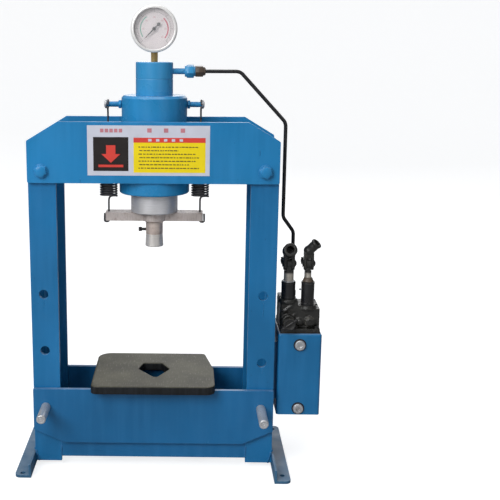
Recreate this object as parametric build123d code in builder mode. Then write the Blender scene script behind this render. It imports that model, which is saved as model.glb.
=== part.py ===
from build123d import *

import os
from math import radians, sin

# A bench-top hydraulic press with an H-shaped frame and a hand pump on its right side.
# The origin is at floor level, on the ram's axis, at the centre of the four foot bolt holes.
# +X points to the pump, -Y points to the operator, +Z is up. All sizes are in millimetres.

# ------------------------------------------------------------------ driving dimensions: frame
FRAME_WIDTH = 520.0
CHANNEL_DEPTH = 140.0
FLANGE_WIDTH = 58.0
FLANGE_T = 9.5
WEB_T = 6.0
CHANNEL_ROOT_R = 9.0
CHANNEL_TOE_R = 4.0
UPRIGHT_BOTTOM = 10.0
PLATE_T = 10.0
PLATE_CORNER_R = 4.0
DAYLIGHT = 449.0
HEAD_HEIGHT = 126.0
HEAD_END_HEIGHT = 87.0
HEAD_SHOULDER_RUN = 64.5
UPRIGHT_INSET = 4.0
BED_TOP = 180.0
BED_HEIGHT = 123.0
BED_CORNER_RUN = 66.4
BED_CORNER_RISE = 30.0
BED_SPACER_T = 10.0
BED_SPACER_X = 120.0
BED_SPACER_BOTTOM = 18.0
BED_SPACER_TOP_GAP = 25.0

PIN_D = 20.0
LEFT_PIN_REACH = 73.0
RIGHT_PIN_REACH = 87.0
PIN_TAIL = 8.0
PIN_BELOW_BED_TOP = 41.0
PIN_PITCH = 125.0
PIN_LEVELS = 3
RIGHT_MIDDLE_DROP = 24.0
PIN_FROM_WEB_FACE = 27.0
PIN_CLEARANCE = 0.08
PIN_CHAMFER = 2.0

HEAD_BOLT_D = 16.0
HEAD_BOLT_AF = 24.0
HEAD_BOLT_HEAD_T = 10.0
HEAD_BOLT_RISE = 25.0
HEAD_NUT_T = 13.0
HEAD_BOLT_TAIL = 3.0
HEAD_BOLT_CHAMFER = 1.2
BOLT_CLEARANCE = 0.5

LEFT_FOOT_FRONT = 137.0
RIGHT_FOOT_FRONT = 153.0
FOOT_BACK = 145.0
FOOT_LEG = 35.0
FOOT_LEG_T = 6.0
FOOT_RISE = 30.0
FOOT_RISE_T = 5.0
FOOT_CORNER_R = 12.0
FOOT_HOLE_D = 11.0
FOOT_HOLE_SPACING = 250.0
FOOT_HOLE_FROM_EDGE = 16.0

BRACE_LEG = 25.0
BRACE_T = 4.0
BRACE_BOTTOM = 21.0
BRACE_LAP = 5.0

# ------------------------------------------------------------------ driving dimensions: cylinder
HOUSING_SIDE_GAP = 1.0
CYLINDER_WALL = 13.0
COLLAR_LEDGE = 5.5
COLLAR_HEIGHT = 29.0
COLLAR_CHAMFER = 2.0
HOUSING_CAP_T = 11.0
HOUSING_CHAMFER = 5.0
BUSH_WALL = 6.0
BUSH_LENGTH = 44.0
RUN_CLEARANCE = 0.05
RAM_STROKE = 125.0
RAM_EXPOSED = 42.5
PISTON_HEIGHT = 22.0
PISTON_SEAL_T = 6.0
PISTON_SEAL_DEPTH = 5.0
BORE_END_GAP = 2.0
STOP_GAP = 1.0
NECK_R = 39.0
NECK_HEIGHT = 34.0
PORT_HEAD_HEIGHT = 34.5
PORT_HEAD_CHAMFER = 1.5
NECK_GROOVE = 0.8
PORT_RISE = 15.5
PORT_R = 5.0

CROSSBAR_LENGTH = 208.0
CROSSBAR_DEPTH = 40.0
CROSSBAR_T = 17.5
CROSSBAR_CHAMFER = 2.0
CROSSBAR_BOSS_R = 31.0
NOSE_TOP_R = 29.0
NOSE_R = 18.2
NOSE_CONE_HEIGHT = 9.0
NOSE_HEIGHT = 30.5
NOSE_STUD_R = 12.0
NOSE_STUD_IN_RAM = 20.0
TIP_HEIGHT = 27.0
TIP_TOP_R = 18.0
TIP_BOTTOM_R = 19.5
TIP_SHANK_R = 10.0
TIP_SHANK_LENGTH = 19.0
SET_SCREW_R = 3.0
SET_SCREW_HEAD_R = 4.6
SET_SCREW_HEAD_T = 7.0
SET_SCREW_REACH = 34.0
SET_SCREW_RISE = 9.0

# ------------------------------------------------------------------ driving dimensions: springs
ANCHOR_DROP = 19.0
ANCHOR_R = 6.0
ANCHOR_HEAD_R = 8.5
ANCHOR_HEAD_T = 4.0
ANCHOR_REACH = 35.5
ANCHOR_THREAD = 10.0
SPRING_OUT = 29.0
SPRING_R = 19.5
SPRING_COIL_DROP = 11.0
SPRING_COIL_LENGTH = 145.0
SPRING_WIRE_R = 2.0
SPRING_EYE_GAP = 0.5
SPRING_EYE_WALL = 4.0
SPRING_EYE_T = 3.2
SPRING_HOLE_R = 3.5
SPRING_FOOT_R = 4.5
SPRING_FOOT_T = 4.0

# ------------------------------------------------------------------ driving dimensions: gauge
STEM_AF = 14.0
STEM_LENGTH = 20.0
STEM_SINK = 1.0
STEM_THREAD_R = 5.0
STEM_THREAD_LENGTH = 10.0
GAUGE_R = 44.5
GAUGE_WALL = 2.0
CASE_BACK_R = 4.0
CASE_STEM_CUT = 10.0
MOVEMENT_WIDTH = 30.0
MOVEMENT_HEIGHT = 22.0
GAUGE_FRONT = 20.0
GAUGE_BACK = 22.0
BEZEL_R = 48.0
BEZEL_EDGE_R = 2.0
BEZEL_DEPTH = 14.0
BEZEL_LIP_R = 41.5
BEZEL_LIP_T = 2.5
DIAL_T = 1.0
DIAL_SET_BACK = 10.0
GLASS_T = 2.5
NEEDLE_LENGTH = 29.0
NEEDLE_TAIL = 17.0
NEEDLE_T = 0.8
NEEDLE_START = 225.0
NEEDLE_SPINDLE_R = 2.0
NEEDLE_SPINDLE_LENGTH = 12.0
NEEDLE_HUB_R = 4.0
NEEDLE_WEIGHT_R = 3.6
NEEDLE_HALF_WIDTH = 1.6
BOURDON_R = 30.0
BOURDON_TUBE_R = 4.0
BOURDON_ARC = 260.0
STEM_TOP_DROP = 26.0

# ------------------------------------------------------------------ driving dimensions: oil pipe
NIPPLE_R = 6.5
NIPPLE_LENGTH = 25.0
NIPPLE_SOCKET = 8.0
ADAPTER_AF = 25.0
ADAPTER_LENGTH = 21.5
ADAPTER_CHAMFER = 1.2
PIPE_NUT_AF = 21.0
PIPE_NUT_LENGTH = 21.5
PIPE_NUT_CHAMFER = 1.5
PIPE_R = 4.0
PIPE_SEAT = 8.0
PIPE_LEVEL_RUN = 72.0
PIPE_WEB_GAP = 17.0
PIPE_BEND_ABOVE_HEAD = 33.0
PIPE_BEND_R = 26.0
PIPE_JOG_BEND_R = 15.0
PIPE_JOG_TOP = 367.0
PIPE_JOG_DROP = 35.0
OUTLET_SIDE = 12.0
OUTLET_BEHIND = 44.0
OUTLET_NUT_AF = 17.0
OUTLET_NUT_HEIGHT = 16.0

# ------------------------------------------------------------------ driving dimensions: tank, pump
BRACKET_T = 8.0
BRACKET_DEPTH = 90.0
BRACKET_HEIGHT = 130.0
BRACKET_RISE = 30.0
TANK_BOLT_R = 5.0
TANK_BOLT_AF = 16.0
TANK_BOLT_HEAD_T = 7.0
TANK_BOLT_SPACING_Y = 60.0
TANK_BOLT_SPACING_Z = 90.0
TANK_BOTTOM = 120.0
TANK_HEIGHT = 183.0
TANK_WIDTH = 94.0
TANK_DEPTH = 124.0
TANK_WALL = 3.0
TANK_CORNER_R = 6.0
TANK_RIM_R = 5.0
TANK_MOUTH_R = 26.0
GASKET_T = 2.0
PLUG_BOSS_R = 13.0
PLUG_BOSS_T = 8.0
PLUG_THREAD_R = 8.0
PLUG_HEAD_R = 11.5
PLUG_HEAD_T = 7.0
PLUG_SOCKET_AF = 10.0
PLUG_CHAMFER = 1.2
FILLER_DROP = 24.0
DRAIN_RISE = 15.0

BLOCK_X_GAP = 5.0
BLOCK_WIDTH = 85.0
BLOCK_DEPTH = 84.0
BLOCK_HEIGHT = 49.0
BLOCK_PAD_WIDTH = 38.0
BLOCK_PAD_RISE = 15.0
BLOCK_FLANGE_T = 8.0
BLOCK_FLANGE_DEPTH = 112.0
BLOCK_CAST_R = 3.0
BLOCK_BOLT_R = 4.0
BLOCK_BOLT_HEAD_R = 6.0
BLOCK_BOLT_HEAD_T = 5.0
BLOCK_BOLT_INSET = 7.0
BLOCK_BOLT_GRIP = 20.0
CHAMBER_FLOOR = 20.0

PUMP_Y = -28.0
PUMP_ARM = 26.0
LOW_PUMP_OFFSET = 17.0
HIGH_PUMP_OFFSET = 59.0
BARREL_TOP_RISE = 58.0
SEAL_DEPTH = 7.0
SEAL_T = 6.0
SEAL_WALL = 2.5
CHAMBER_CLEARANCE = 1.0
LOW_BARREL_R = 15.0
LOW_PLUNGER_R = 10.5
HIGH_BARREL_R = 14.0
HIGH_PLUNGER_R = 6.5
PLUNGER_BOTTOM_RISE = 35.0
PLUNGER_SHOULDER = 16.0
PIVOT_RISE = 39.5
PIVOT_PIN_R = 4.0
PIVOT_PIN_PROUD = 3.5
PIVOT_PIN_CHAMFER = 0.8
EYE_T = 9.0
EYE_LENGTH = 24.0
EYE_HEIGHT = 18.0
SLOT_PLAY = 0.35
SLOT_BACK = 0.5
CHEEK_GAP = 0.3
LOW_CHEEK_T = 7.2
HIGH_CHEEK_T = 5.6
CHEEK_R = 8.5
CHEEK_DROP = 6.0
CROWN_RISE = 12.5
CROWN_TOP = 24.0
LEVER_SWING = 25.0
SOCKET_BORE_R = 8.1
SOCKET_BORE_DEPTH = 24.0
SOCKET_LENGTH = 26.0
LOW_SOCKET_RISE = 26.0
LOW_SOCKET_R = 13.0
LOW_KNUCKLE_R = 15.0
LOW_SOCKET_DIRECTION = (0.0, -0.94, 0.34)
HIGH_SOCKET_RISE = 28.0
HIGH_SOCKET_R = 10.4
HIGH_KNUCKLE_R = 11.5
HIGH_SOCKET_DIRECTION = (0.62, -0.3, 0.725)
POST_T = 9.0
POST_DEPTH = 14.0
POST_FOOT_R = 9.0
POST_FOOT_T = 6.0
VENT_R = 2.0
VENT_SEAT = 2.0
VENT_PROUD = 5.0
VENT_EDGE = 0.8
VENT_RISE = 40.0
GLAND_R = 11.5
GLAND_HEIGHT = 8.0
GLAND_WALL = 1.5

RELEASE_OFFSET = 18.0
RELEASE_RISE = 21.0
RELEASE_SPINDLE_R = 5.0
RELEASE_SPINDLE_DEPTH = 30.0
RELEASE_KNOB_R = 13.0
RELEASE_KNOB_GAP = 14.5
RELEASE_KNOB_LENGTH = 16.0
RELEASE_KNOB_CHAMFER = 1.5
RELEASE_BAR_INSET = 1.0
RELEASE_BAR_R = 3.5
RELEASE_BAR_LENGTH = 36.0
RELEASE_BAR_ANGLE = 35.0
CHECK_CAP_AF = 13.0
CHECK_CAP_OFFSET = 42.0
RELIEF_CAP_AF = 20.0
RELIEF_CAP_OFFSET = 64.0
CAP_RISE = 21.0
CAP_CHAMFER = 1.0
CAP_T = 8.0
CAP_THREAD_R = 5.0
CAP_THREAD_LENGTH = 12.0

PRESS_PLATE_HALF = 133.0
PRESS_PLATE_FRONT = 110.0
PRESS_PLATE_BACK = 117.0
PRESS_PLATE_T = 18.0
PRESS_PLATE_FRONT_LEFT_R = 12.0
PRESS_PLATE_FRONT_RIGHT_R = 20.0
PRESS_PLATE_BACK_LEFT_R = 32.0
PRESS_PLATE_BACK_RIGHT_R = 9.0
PRESS_PLATE_TAPER = 18.0
PRESS_PLATE_TAPER_START = 10.0
PRESS_PLATE_EDGE = 1.2
PRESS_HOLE_LEFT = 35.0
PRESS_HOLE_RIGHT = 33.0
PRESS_HOLE_WIDEST = 6.0
PRESS_HOLE_BACK_LEFT = 26.0
PRESS_HOLE_BACK_RIGHT = 15.0
PRESS_HOLE_BACK = 45.0
PRESS_HOLE_POINT = 4.0
PRESS_HOLE_FRONT = 50.0
PRESS_HOLE_R = 6.0

# ------------------------------------------------------------------ worked out from the above
HALF_WIDTH = FRAME_WIDTH / 2
BOLT_X = HALF_WIDTH - FLANGE_WIDTH / 2
PIN_X = HALF_WIDTH - PIN_FROM_WEB_FACE
INNER_X = HALF_WIDTH - FLANGE_WIDTH
FLANGE_Y = CHANNEL_DEPTH / 2
PLATE_Y = FLANGE_Y + PLATE_T
PIN_LENGTH = 2 * PLATE_Y + RIGHT_PIN_REACH + PIN_TAIL
HEAD_BOTTOM = BED_TOP + DAYLIGHT
HEAD_TOP = HEAD_BOTTOM + HEAD_HEIGHT
HEAD_END_TOP = HEAD_BOTTOM + HEAD_END_HEIGHT
UPRIGHT_TOP = HEAD_END_TOP - UPRIGHT_INSET
BED_BOTTOM = BED_TOP - BED_HEIGHT
BRACE_TOP = BED_BOTTOM + BRACE_LAP
PIN_Z = BED_TOP - PIN_BELOW_BED_TOP
PIN_HOLE_R = PIN_D / 2 + PIN_CLEARANCE
HEAD_BOLT_Z = HEAD_BOTTOM + HEAD_BOLT_RISE
HEAD_BOLT_HOLE_R = HEAD_BOLT_D / 2 + BOLT_CLEARANCE

HOUSING_R = FLANGE_Y - HOUSING_SIDE_GAP
BORE_R = HOUSING_R - CYLINDER_WALL
COLLAR_R = HOUSING_R + COLLAR_LEDGE
COLLAR_BOTTOM = HEAD_BOTTOM - COLLAR_HEIGHT
RAM_R = BORE_R - BUSH_WALL
RAM_BOTTOM = COLLAR_BOTTOM - RAM_EXPOSED
BUSH_TOP = COLLAR_BOTTOM + BUSH_LENGTH
PISTON_BOTTOM = BUSH_TOP + RAM_STROKE + STOP_GAP
PISTON_TOP = PISTON_BOTTOM + PISTON_HEIGHT
BORE_TOP = PISTON_TOP + BORE_END_GAP
HOUSING_TOP = BORE_TOP + HOUSING_CAP_T
NECK_TOP = HOUSING_TOP + NECK_HEIGHT
PORT_HEAD_TOP = NECK_TOP + PORT_HEAD_HEIGHT
PORT_Z = NECK_TOP + PORT_RISE
CROSSBAR_BOTTOM = RAM_BOTTOM - CROSSBAR_T
NOSE_BOTTOM = CROSSBAR_BOTTOM - NOSE_HEIGHT
TIP_BOTTOM = NOSE_BOTTOM - TIP_HEIGHT
SET_SCREW_Z = NOSE_BOTTOM + SET_SCREW_RISE

ANCHOR_Z = HOUSING_TOP - ANCHOR_DROP
SPRING_X = HOUSING_R + SPRING_OUT
SPRING_COIL_BOTTOM = COLLAR_BOTTOM - SPRING_COIL_DROP
SPRING_COIL_TOP = SPRING_COIL_BOTTOM + SPRING_COIL_LENGTH

GAUGE_Z = PORT_HEAD_TOP + STEM_LENGTH - STEM_SINK + BEZEL_R
DIAL_Y = -GAUGE_FRONT + DIAL_SET_BACK
NEEDLE_Y = (DIAL_Y - GAUGE_FRONT) / 2
BOURDON_Y = (DIAL_Y + DIAL_T + GAUGE_BACK - GAUGE_WALL) / 2

ADAPTER_X = NECK_R + NIPPLE_LENGTH
PIPE_NUT_X = ADAPTER_X + ADAPTER_LENGTH
PIPE_START_X = PIPE_NUT_X + PIPE_NUT_LENGTH - PIPE_SEAT
PIPE_DROP_X = HALF_WIDTH + PIPE_WEB_GAP

TANK_X = HALF_WIDTH + BRACKET_T
TANK_MID_X = TANK_X + TANK_WIDTH / 2
TANK_TOP = TANK_BOTTOM + TANK_HEIGHT
BRACKET_BOTTOM = TANK_BOTTOM + BRACKET_RISE
BRACKET_MID_Z = BRACKET_BOTTOM + BRACKET_HEIGHT / 2
FILLER_Z = TANK_TOP - FILLER_DROP
DRAIN_Z = TANK_BOTTOM + DRAIN_RISE

BLOCK_X = TANK_X + BLOCK_X_GAP
BLOCK_MID_X = BLOCK_X + BLOCK_WIDTH / 2
BLOCK_BOTTOM = TANK_TOP + GASKET_T
BLOCK_TOP = BLOCK_BOTTOM + BLOCK_HEIGHT
PAD_TOP = BLOCK_TOP + BLOCK_PAD_RISE
BLOCK_FRONT = BLOCK_DEPTH / 2
BARREL_TOP = BLOCK_TOP + BARREL_TOP_RISE
PLUNGER_BOTTOM = BLOCK_BOTTOM + PLUNGER_BOTTOM_RISE
PIVOT_Z = BARREL_TOP + PIVOT_RISE
PIVOT_Y = PUMP_Y + PUMP_ARM
LOW_PUMP_X = BLOCK_X + LOW_PUMP_OFFSET
HIGH_PUMP_X = BLOCK_X + HIGH_PUMP_OFFSET
OUTLET_X = LOW_PUMP_X + OUTLET_SIDE
OUTLET_Y = PUMP_Y + OUTLET_BEHIND
PIPE_JOG_Z = BED_TOP + PIPE_JOG_TOP

BLOCK_BOLT_X = BLOCK_WIDTH / 2 - BLOCK_BOLT_INSET
BLOCK_BOLT_Y = BLOCK_FLANGE_DEPTH / 2 - BLOCK_BOLT_INSET
BLOCK_BOLT_PLACES = [
    (BLOCK_MID_X + across * BLOCK_BOLT_X, along * BLOCK_BOLT_Y)
    for across in (-1, 1)
    for along in (-1, 1)
]
CHECK_CAP_PLACE = (BLOCK_X + CHECK_CAP_OFFSET, BLOCK_BOTTOM + CAP_RISE)
RELIEF_CAP_PLACE = (BLOCK_X + RELIEF_CAP_OFFSET, BLOCK_BOTTOM + CAP_RISE)
SIDES = {"left": -1, "right": 1}


# ------------------------------------------------------------------ frame
def pin_hole_places(hand):
    """The pin holes of one upright; the right one's middle hole sits lower than the left one's."""
    heights = [PIN_Z + level * PIN_PITCH for level in range(PIN_LEVELS)]
    if hand > 0:
        heights[1] -= RIGHT_MIDDLE_DROP
    return [(hand * PIN_X, height) for height in heights]


def make_upright(side, hand):
    """A rolled channel with its web outboard and its open side towards the ram."""
    web_middle = hand * (HALF_WIDTH - FLANGE_WIDTH / 2)
    hollow_middle = hand * (HALF_WIDTH - WEB_T - (FLANGE_WIDTH - WEB_T) / 2)
    with BuildPart() as upright:
        with BuildSketch(Plane.XY.offset(UPRIGHT_BOTTOM)) as section:
            with Locations((web_middle, 0)):
                Rectangle(FLANGE_WIDTH, CHANNEL_DEPTH)
            with Locations((hollow_middle, 0)):
                Rectangle(FLANGE_WIDTH - WEB_T, CHANNEL_DEPTH - 2 * FLANGE_T, mode=Mode.SUBTRACT)
            hollow_y = CHANNEL_DEPTH / 2 - FLANGE_T
            inside = [v for v in section.vertices() if abs(abs(v.Y) - hollow_y) < 0.01]
            roots = [v for v in inside if abs(v.X) > INNER_X + 1]
            toes = [v for v in inside if abs(v.X) <= INNER_X + 1]
            fillet(roots, CHANNEL_ROOT_R)
            fillet(toes, CHANNEL_TOE_R)
        extrude(amount=UPRIGHT_TOP - UPRIGHT_BOTTOM)
        with BuildSketch(Plane.XZ):
            with Locations(*pin_hole_places(hand)):
                Circle(PIN_HOLE_R)
            with Locations((hand * BOLT_X, HEAD_BOLT_Z)):
                Circle(HEAD_BOLT_HOLE_R)
        extrude(amount=CHANNEL_DEPTH, both=True, mode=Mode.SUBTRACT)
        if hand > 0:
            with BuildSketch(Plane.YZ.offset(HALF_WIDTH - 2 * WEB_T)):
                with Locations((0, BRACKET_MID_Z)):
                    with GridLocations(TANK_BOLT_SPACING_Y, TANK_BOLT_SPACING_Z, 2, 2):
                        Circle(TANK_BOLT_R + BOLT_CLEARANCE)
            extrude(amount=3 * WEB_T, mode=Mode.SUBTRACT)
    upright.part.label = f"{side}_upright"
    export_step(upright.part, f"parts/{side}_upright.step")


def make_foot(side, hand):
    """A steel angle on the floor outboard of an upright, with a bolt-down hole near each end."""
    leg_edge = hand * (HALF_WIDTH + FOOT_LEG)
    foot_front = LEFT_FOOT_FRONT if hand < 0 else RIGHT_FOOT_FRONT
    foot_length = foot_front + FOOT_BACK
    foot_middle = (FOOT_BACK - foot_front) / 2
    with BuildPart() as foot:
        with BuildSketch(Plane.XY):
            with Locations((hand * (HALF_WIDTH + FOOT_LEG / 2), foot_middle)):
                Rectangle(FOOT_LEG, foot_length)
        extrude(amount=FOOT_LEG_T)
        outer = [e for e in foot.edges().filter_by(Axis.Z) if abs(e.center().X - leg_edge) < 0.01]
        fillet(outer, FOOT_CORNER_R)
        with BuildSketch(Plane.XY):
            with Locations((hand * (HALF_WIDTH + FOOT_RISE_T / 2), foot_middle)):
                Rectangle(FOOT_RISE_T, foot_length)
        extrude(amount=FOOT_RISE)
        with BuildSketch(Plane.XY):
            with Locations((hand * (HALF_WIDTH + FOOT_LEG - FOOT_HOLE_FROM_EDGE), 0)):
                with GridLocations(0, FOOT_HOLE_SPACING, 1, 2):
                    Circle(FOOT_HOLE_D / 2)
        extrude(amount=FOOT_LEG_T, mode=Mode.SUBTRACT)
    foot.part.label = f"{side}_foot"
    export_step(foot.part, f"parts/{side}_foot.step")


def make_braces():
    """Two angles, front and rear, that tie the uprights together and lap behind the bed plates."""
    with BuildPart() as braces:
        for facing in (-1, 1):
            outer_y = facing * FLANGE_Y
            with BuildSketch(Plane.YZ):
                with BuildLine():
                    Polyline(
                        (outer_y, BRACE_BOTTOM),
                        (outer_y, BRACE_TOP),
                        (outer_y - facing * BRACE_T, BRACE_TOP),
                        (outer_y - facing * BRACE_T, BRACE_BOTTOM + BRACE_T),
                        (outer_y - facing * BRACE_LEG, BRACE_BOTTOM + BRACE_T),
                        (outer_y - facing * BRACE_LEG, BRACE_BOTTOM),
                        close=True,
                    )
                make_face()
            extrude(amount=INNER_X, both=True)
    braces.part.label = "braces"
    export_step(braces.part, "parts/braces.step")


def make_head_plate(name, facing):
    """A head plate: level below, with sloping shoulders above; facing is -1 in front, 1 behind."""
    top_half = HALF_WIDTH - HEAD_SHOULDER_RUN
    with BuildPart() as head_plate:
        with BuildSketch(Plane.XZ.offset(-facing * FLANGE_Y)) as outline:
            with BuildLine():
                Polyline(
                    (-HALF_WIDTH, HEAD_BOTTOM),
                    (HALF_WIDTH, HEAD_BOTTOM),
                    (HALF_WIDTH, HEAD_END_TOP),
                    (top_half, HEAD_TOP),
                    (-top_half, HEAD_TOP),
                    (-HALF_WIDTH, HEAD_END_TOP),
                    close=True,
                )
            make_face()
            fillet(outline.vertices(), PLATE_CORNER_R)
            with Locations((-BOLT_X, HEAD_BOLT_Z), (BOLT_X, HEAD_BOLT_Z)):
                Circle(HEAD_BOLT_HOLE_R, mode=Mode.SUBTRACT)
        extrude(amount=-facing * PLATE_T)
    head_plate.part.label = name
    export_step(head_plate.part, f"parts/{name}.step")


def make_bed_plate(name, facing):
    """A bed plate with its lower corners cut away and a hole at each end for a support pin."""
    bottom_half = HALF_WIDTH - BED_CORNER_RUN
    with BuildPart() as bed_plate:
        with BuildSketch(Plane.XZ.offset(-facing * FLANGE_Y)) as outline:
            with BuildLine():
                Polyline(
                    (-HALF_WIDTH, BED_TOP),
                    (HALF_WIDTH, BED_TOP),
                    (HALF_WIDTH, BED_BOTTOM + BED_CORNER_RISE),
                    (bottom_half, BED_BOTTOM),
                    (-bottom_half, BED_BOTTOM),
                    (-HALF_WIDTH, BED_BOTTOM + BED_CORNER_RISE),
                    close=True,
                )
            make_face()
            fillet(outline.vertices(), PLATE_CORNER_R / 2)
            with Locations((-PIN_X, PIN_Z), (PIN_X, PIN_Z)):
                Circle(PIN_HOLE_R, mode=Mode.SUBTRACT)
        extrude(amount=-facing * PLATE_T)
    bed_plate.part.label = name
    export_step(bed_plate.part, f"parts/{name}.step")


def make_bed_spacers():
    """Two flat plates welded on edge between the two bed plates."""
    bottom = BED_BOTTOM + BED_SPACER_BOTTOM
    with BuildPart() as bed_spacers:
        with BuildSketch(Plane.XY.offset(bottom)):
            with GridLocations(2 * BED_SPACER_X, 0, 2, 1):
                Rectangle(BED_SPACER_T, CHANNEL_DEPTH)
        extrude(amount=BED_TOP - BED_SPACER_TOP_GAP - bottom)
    bed_spacers.part.label = "bed_spacers"
    export_step(bed_spacers.part, "parts/bed_spacers.step")


def make_support_pin(side, hand):
    """A loose round bar through both bed plates and both flanges; it pulls out to the front."""
    reach = LEFT_PIN_REACH if hand < 0 else RIGHT_PIN_REACH
    with BuildPart() as support_pin:
        with BuildSketch(Plane.XZ.offset(PLATE_Y + reach)):
            with Locations((hand * PIN_X, PIN_Z)):
                Circle(PIN_D / 2)
        extrude(amount=-PIN_LENGTH)
        chamfer(support_pin.edges().filter_by(GeomType.CIRCLE), PIN_CHAMFER)
    support_pin.part.label = f"{side}_support_pin"
    export_step(support_pin.part, f"parts/{side}_support_pin.step")


def make_head_fasteners():
    """Two through bolts and their nuts, which clamp the head plates to the uprights."""
    places = [(-BOLT_X, HEAD_BOLT_Z), (BOLT_X, HEAD_BOLT_Z)]
    tail = PLATE_Y + HEAD_NUT_T + HEAD_BOLT_TAIL
    with BuildPart() as head_bolts:
        with BuildSketch(Plane.XZ.offset(PLATE_Y)):
            with Locations(*places):
                RegularPolygon(HEAD_BOLT_AF / 2, 6, major_radius=False)
        extrude(amount=HEAD_BOLT_HEAD_T)
        head_faces = head_bolts.faces().sort_by(Axis.Y)[:2]
        chamfer(head_faces.edges(), HEAD_BOLT_CHAMFER)
        with BuildSketch(Plane.XZ.offset(PLATE_Y)):
            with Locations(*places):
                Circle(HEAD_BOLT_D / 2)
        extrude(amount=-(PLATE_Y + tail))
    head_bolts.part.label = "head_bolts"
    export_step(head_bolts.part, "parts/head_bolts.step")

    with BuildPart() as head_nuts:
        with BuildSketch(Plane.XZ.offset(-PLATE_Y)):
            with Locations(*places):
                RegularPolygon(HEAD_BOLT_AF / 2, 6, major_radius=False)
                Circle(HEAD_BOLT_D / 2, mode=Mode.SUBTRACT)
        extrude(amount=-HEAD_NUT_T)
    head_nuts.part.label = "head_nuts"
    export_step(head_nuts.part, "parts/head_nuts.step")


def make_press_plate():
    """The thick loose plate on the bed, cut by hand, with a hole for shafts to hang through."""
    taper_x = PRESS_PLATE_HALF - PRESS_PLATE_TAPER
    with BuildPart() as press_plate:
        with BuildSketch(Plane.XY.offset(BED_TOP)) as outline:
            with BuildLine():
                Polyline(
                    (-PRESS_PLATE_HALF, -PRESS_PLATE_FRONT),
                    (PRESS_PLATE_HALF, -PRESS_PLATE_FRONT),
                    (PRESS_PLATE_HALF, PRESS_PLATE_TAPER_START),
                    (taper_x, PRESS_PLATE_BACK),
                    (-PRESS_PLATE_HALF, PRESS_PLATE_BACK),
                    close=True,
                )
            make_face()
            for row, end, radius in [
                (0, 0, PRESS_PLATE_FRONT_LEFT_R),
                (0, -1, PRESS_PLATE_FRONT_RIGHT_R),
                (-1, 0, PRESS_PLATE_BACK_LEFT_R),
                (-1, -1, PRESS_PLATE_BACK_RIGHT_R),
            ]:
                fillet(outline.vertices().group_by(Axis.Y)[row].sort_by(Axis.X)[end], radius)
        extrude(amount=PRESS_PLATE_T)
        chamfer(press_plate.faces().sort_by(Axis.Z)[-1].edges(), PRESS_PLATE_EDGE)
        with BuildSketch(Plane.XY.offset(BED_TOP)) as hole:
            with BuildLine():
                Polyline(
                    (-PRESS_HOLE_LEFT, PRESS_HOLE_WIDEST),
                    (-PRESS_HOLE_BACK_LEFT, PRESS_HOLE_BACK),
                    (PRESS_HOLE_BACK_RIGHT, PRESS_HOLE_BACK),
                    (PRESS_HOLE_RIGHT, PRESS_HOLE_WIDEST),
                    (PRESS_HOLE_POINT, -PRESS_HOLE_FRONT),
                    close=True,
                )
            make_face()
            fillet(hole.vertices(), PRESS_HOLE_R)
        extrude(amount=PRESS_PLATE_T, mode=Mode.SUBTRACT)
    press_plate.part.label = "press_plate"
    export_step(press_plate.part, "parts/press_plate.step")


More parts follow.
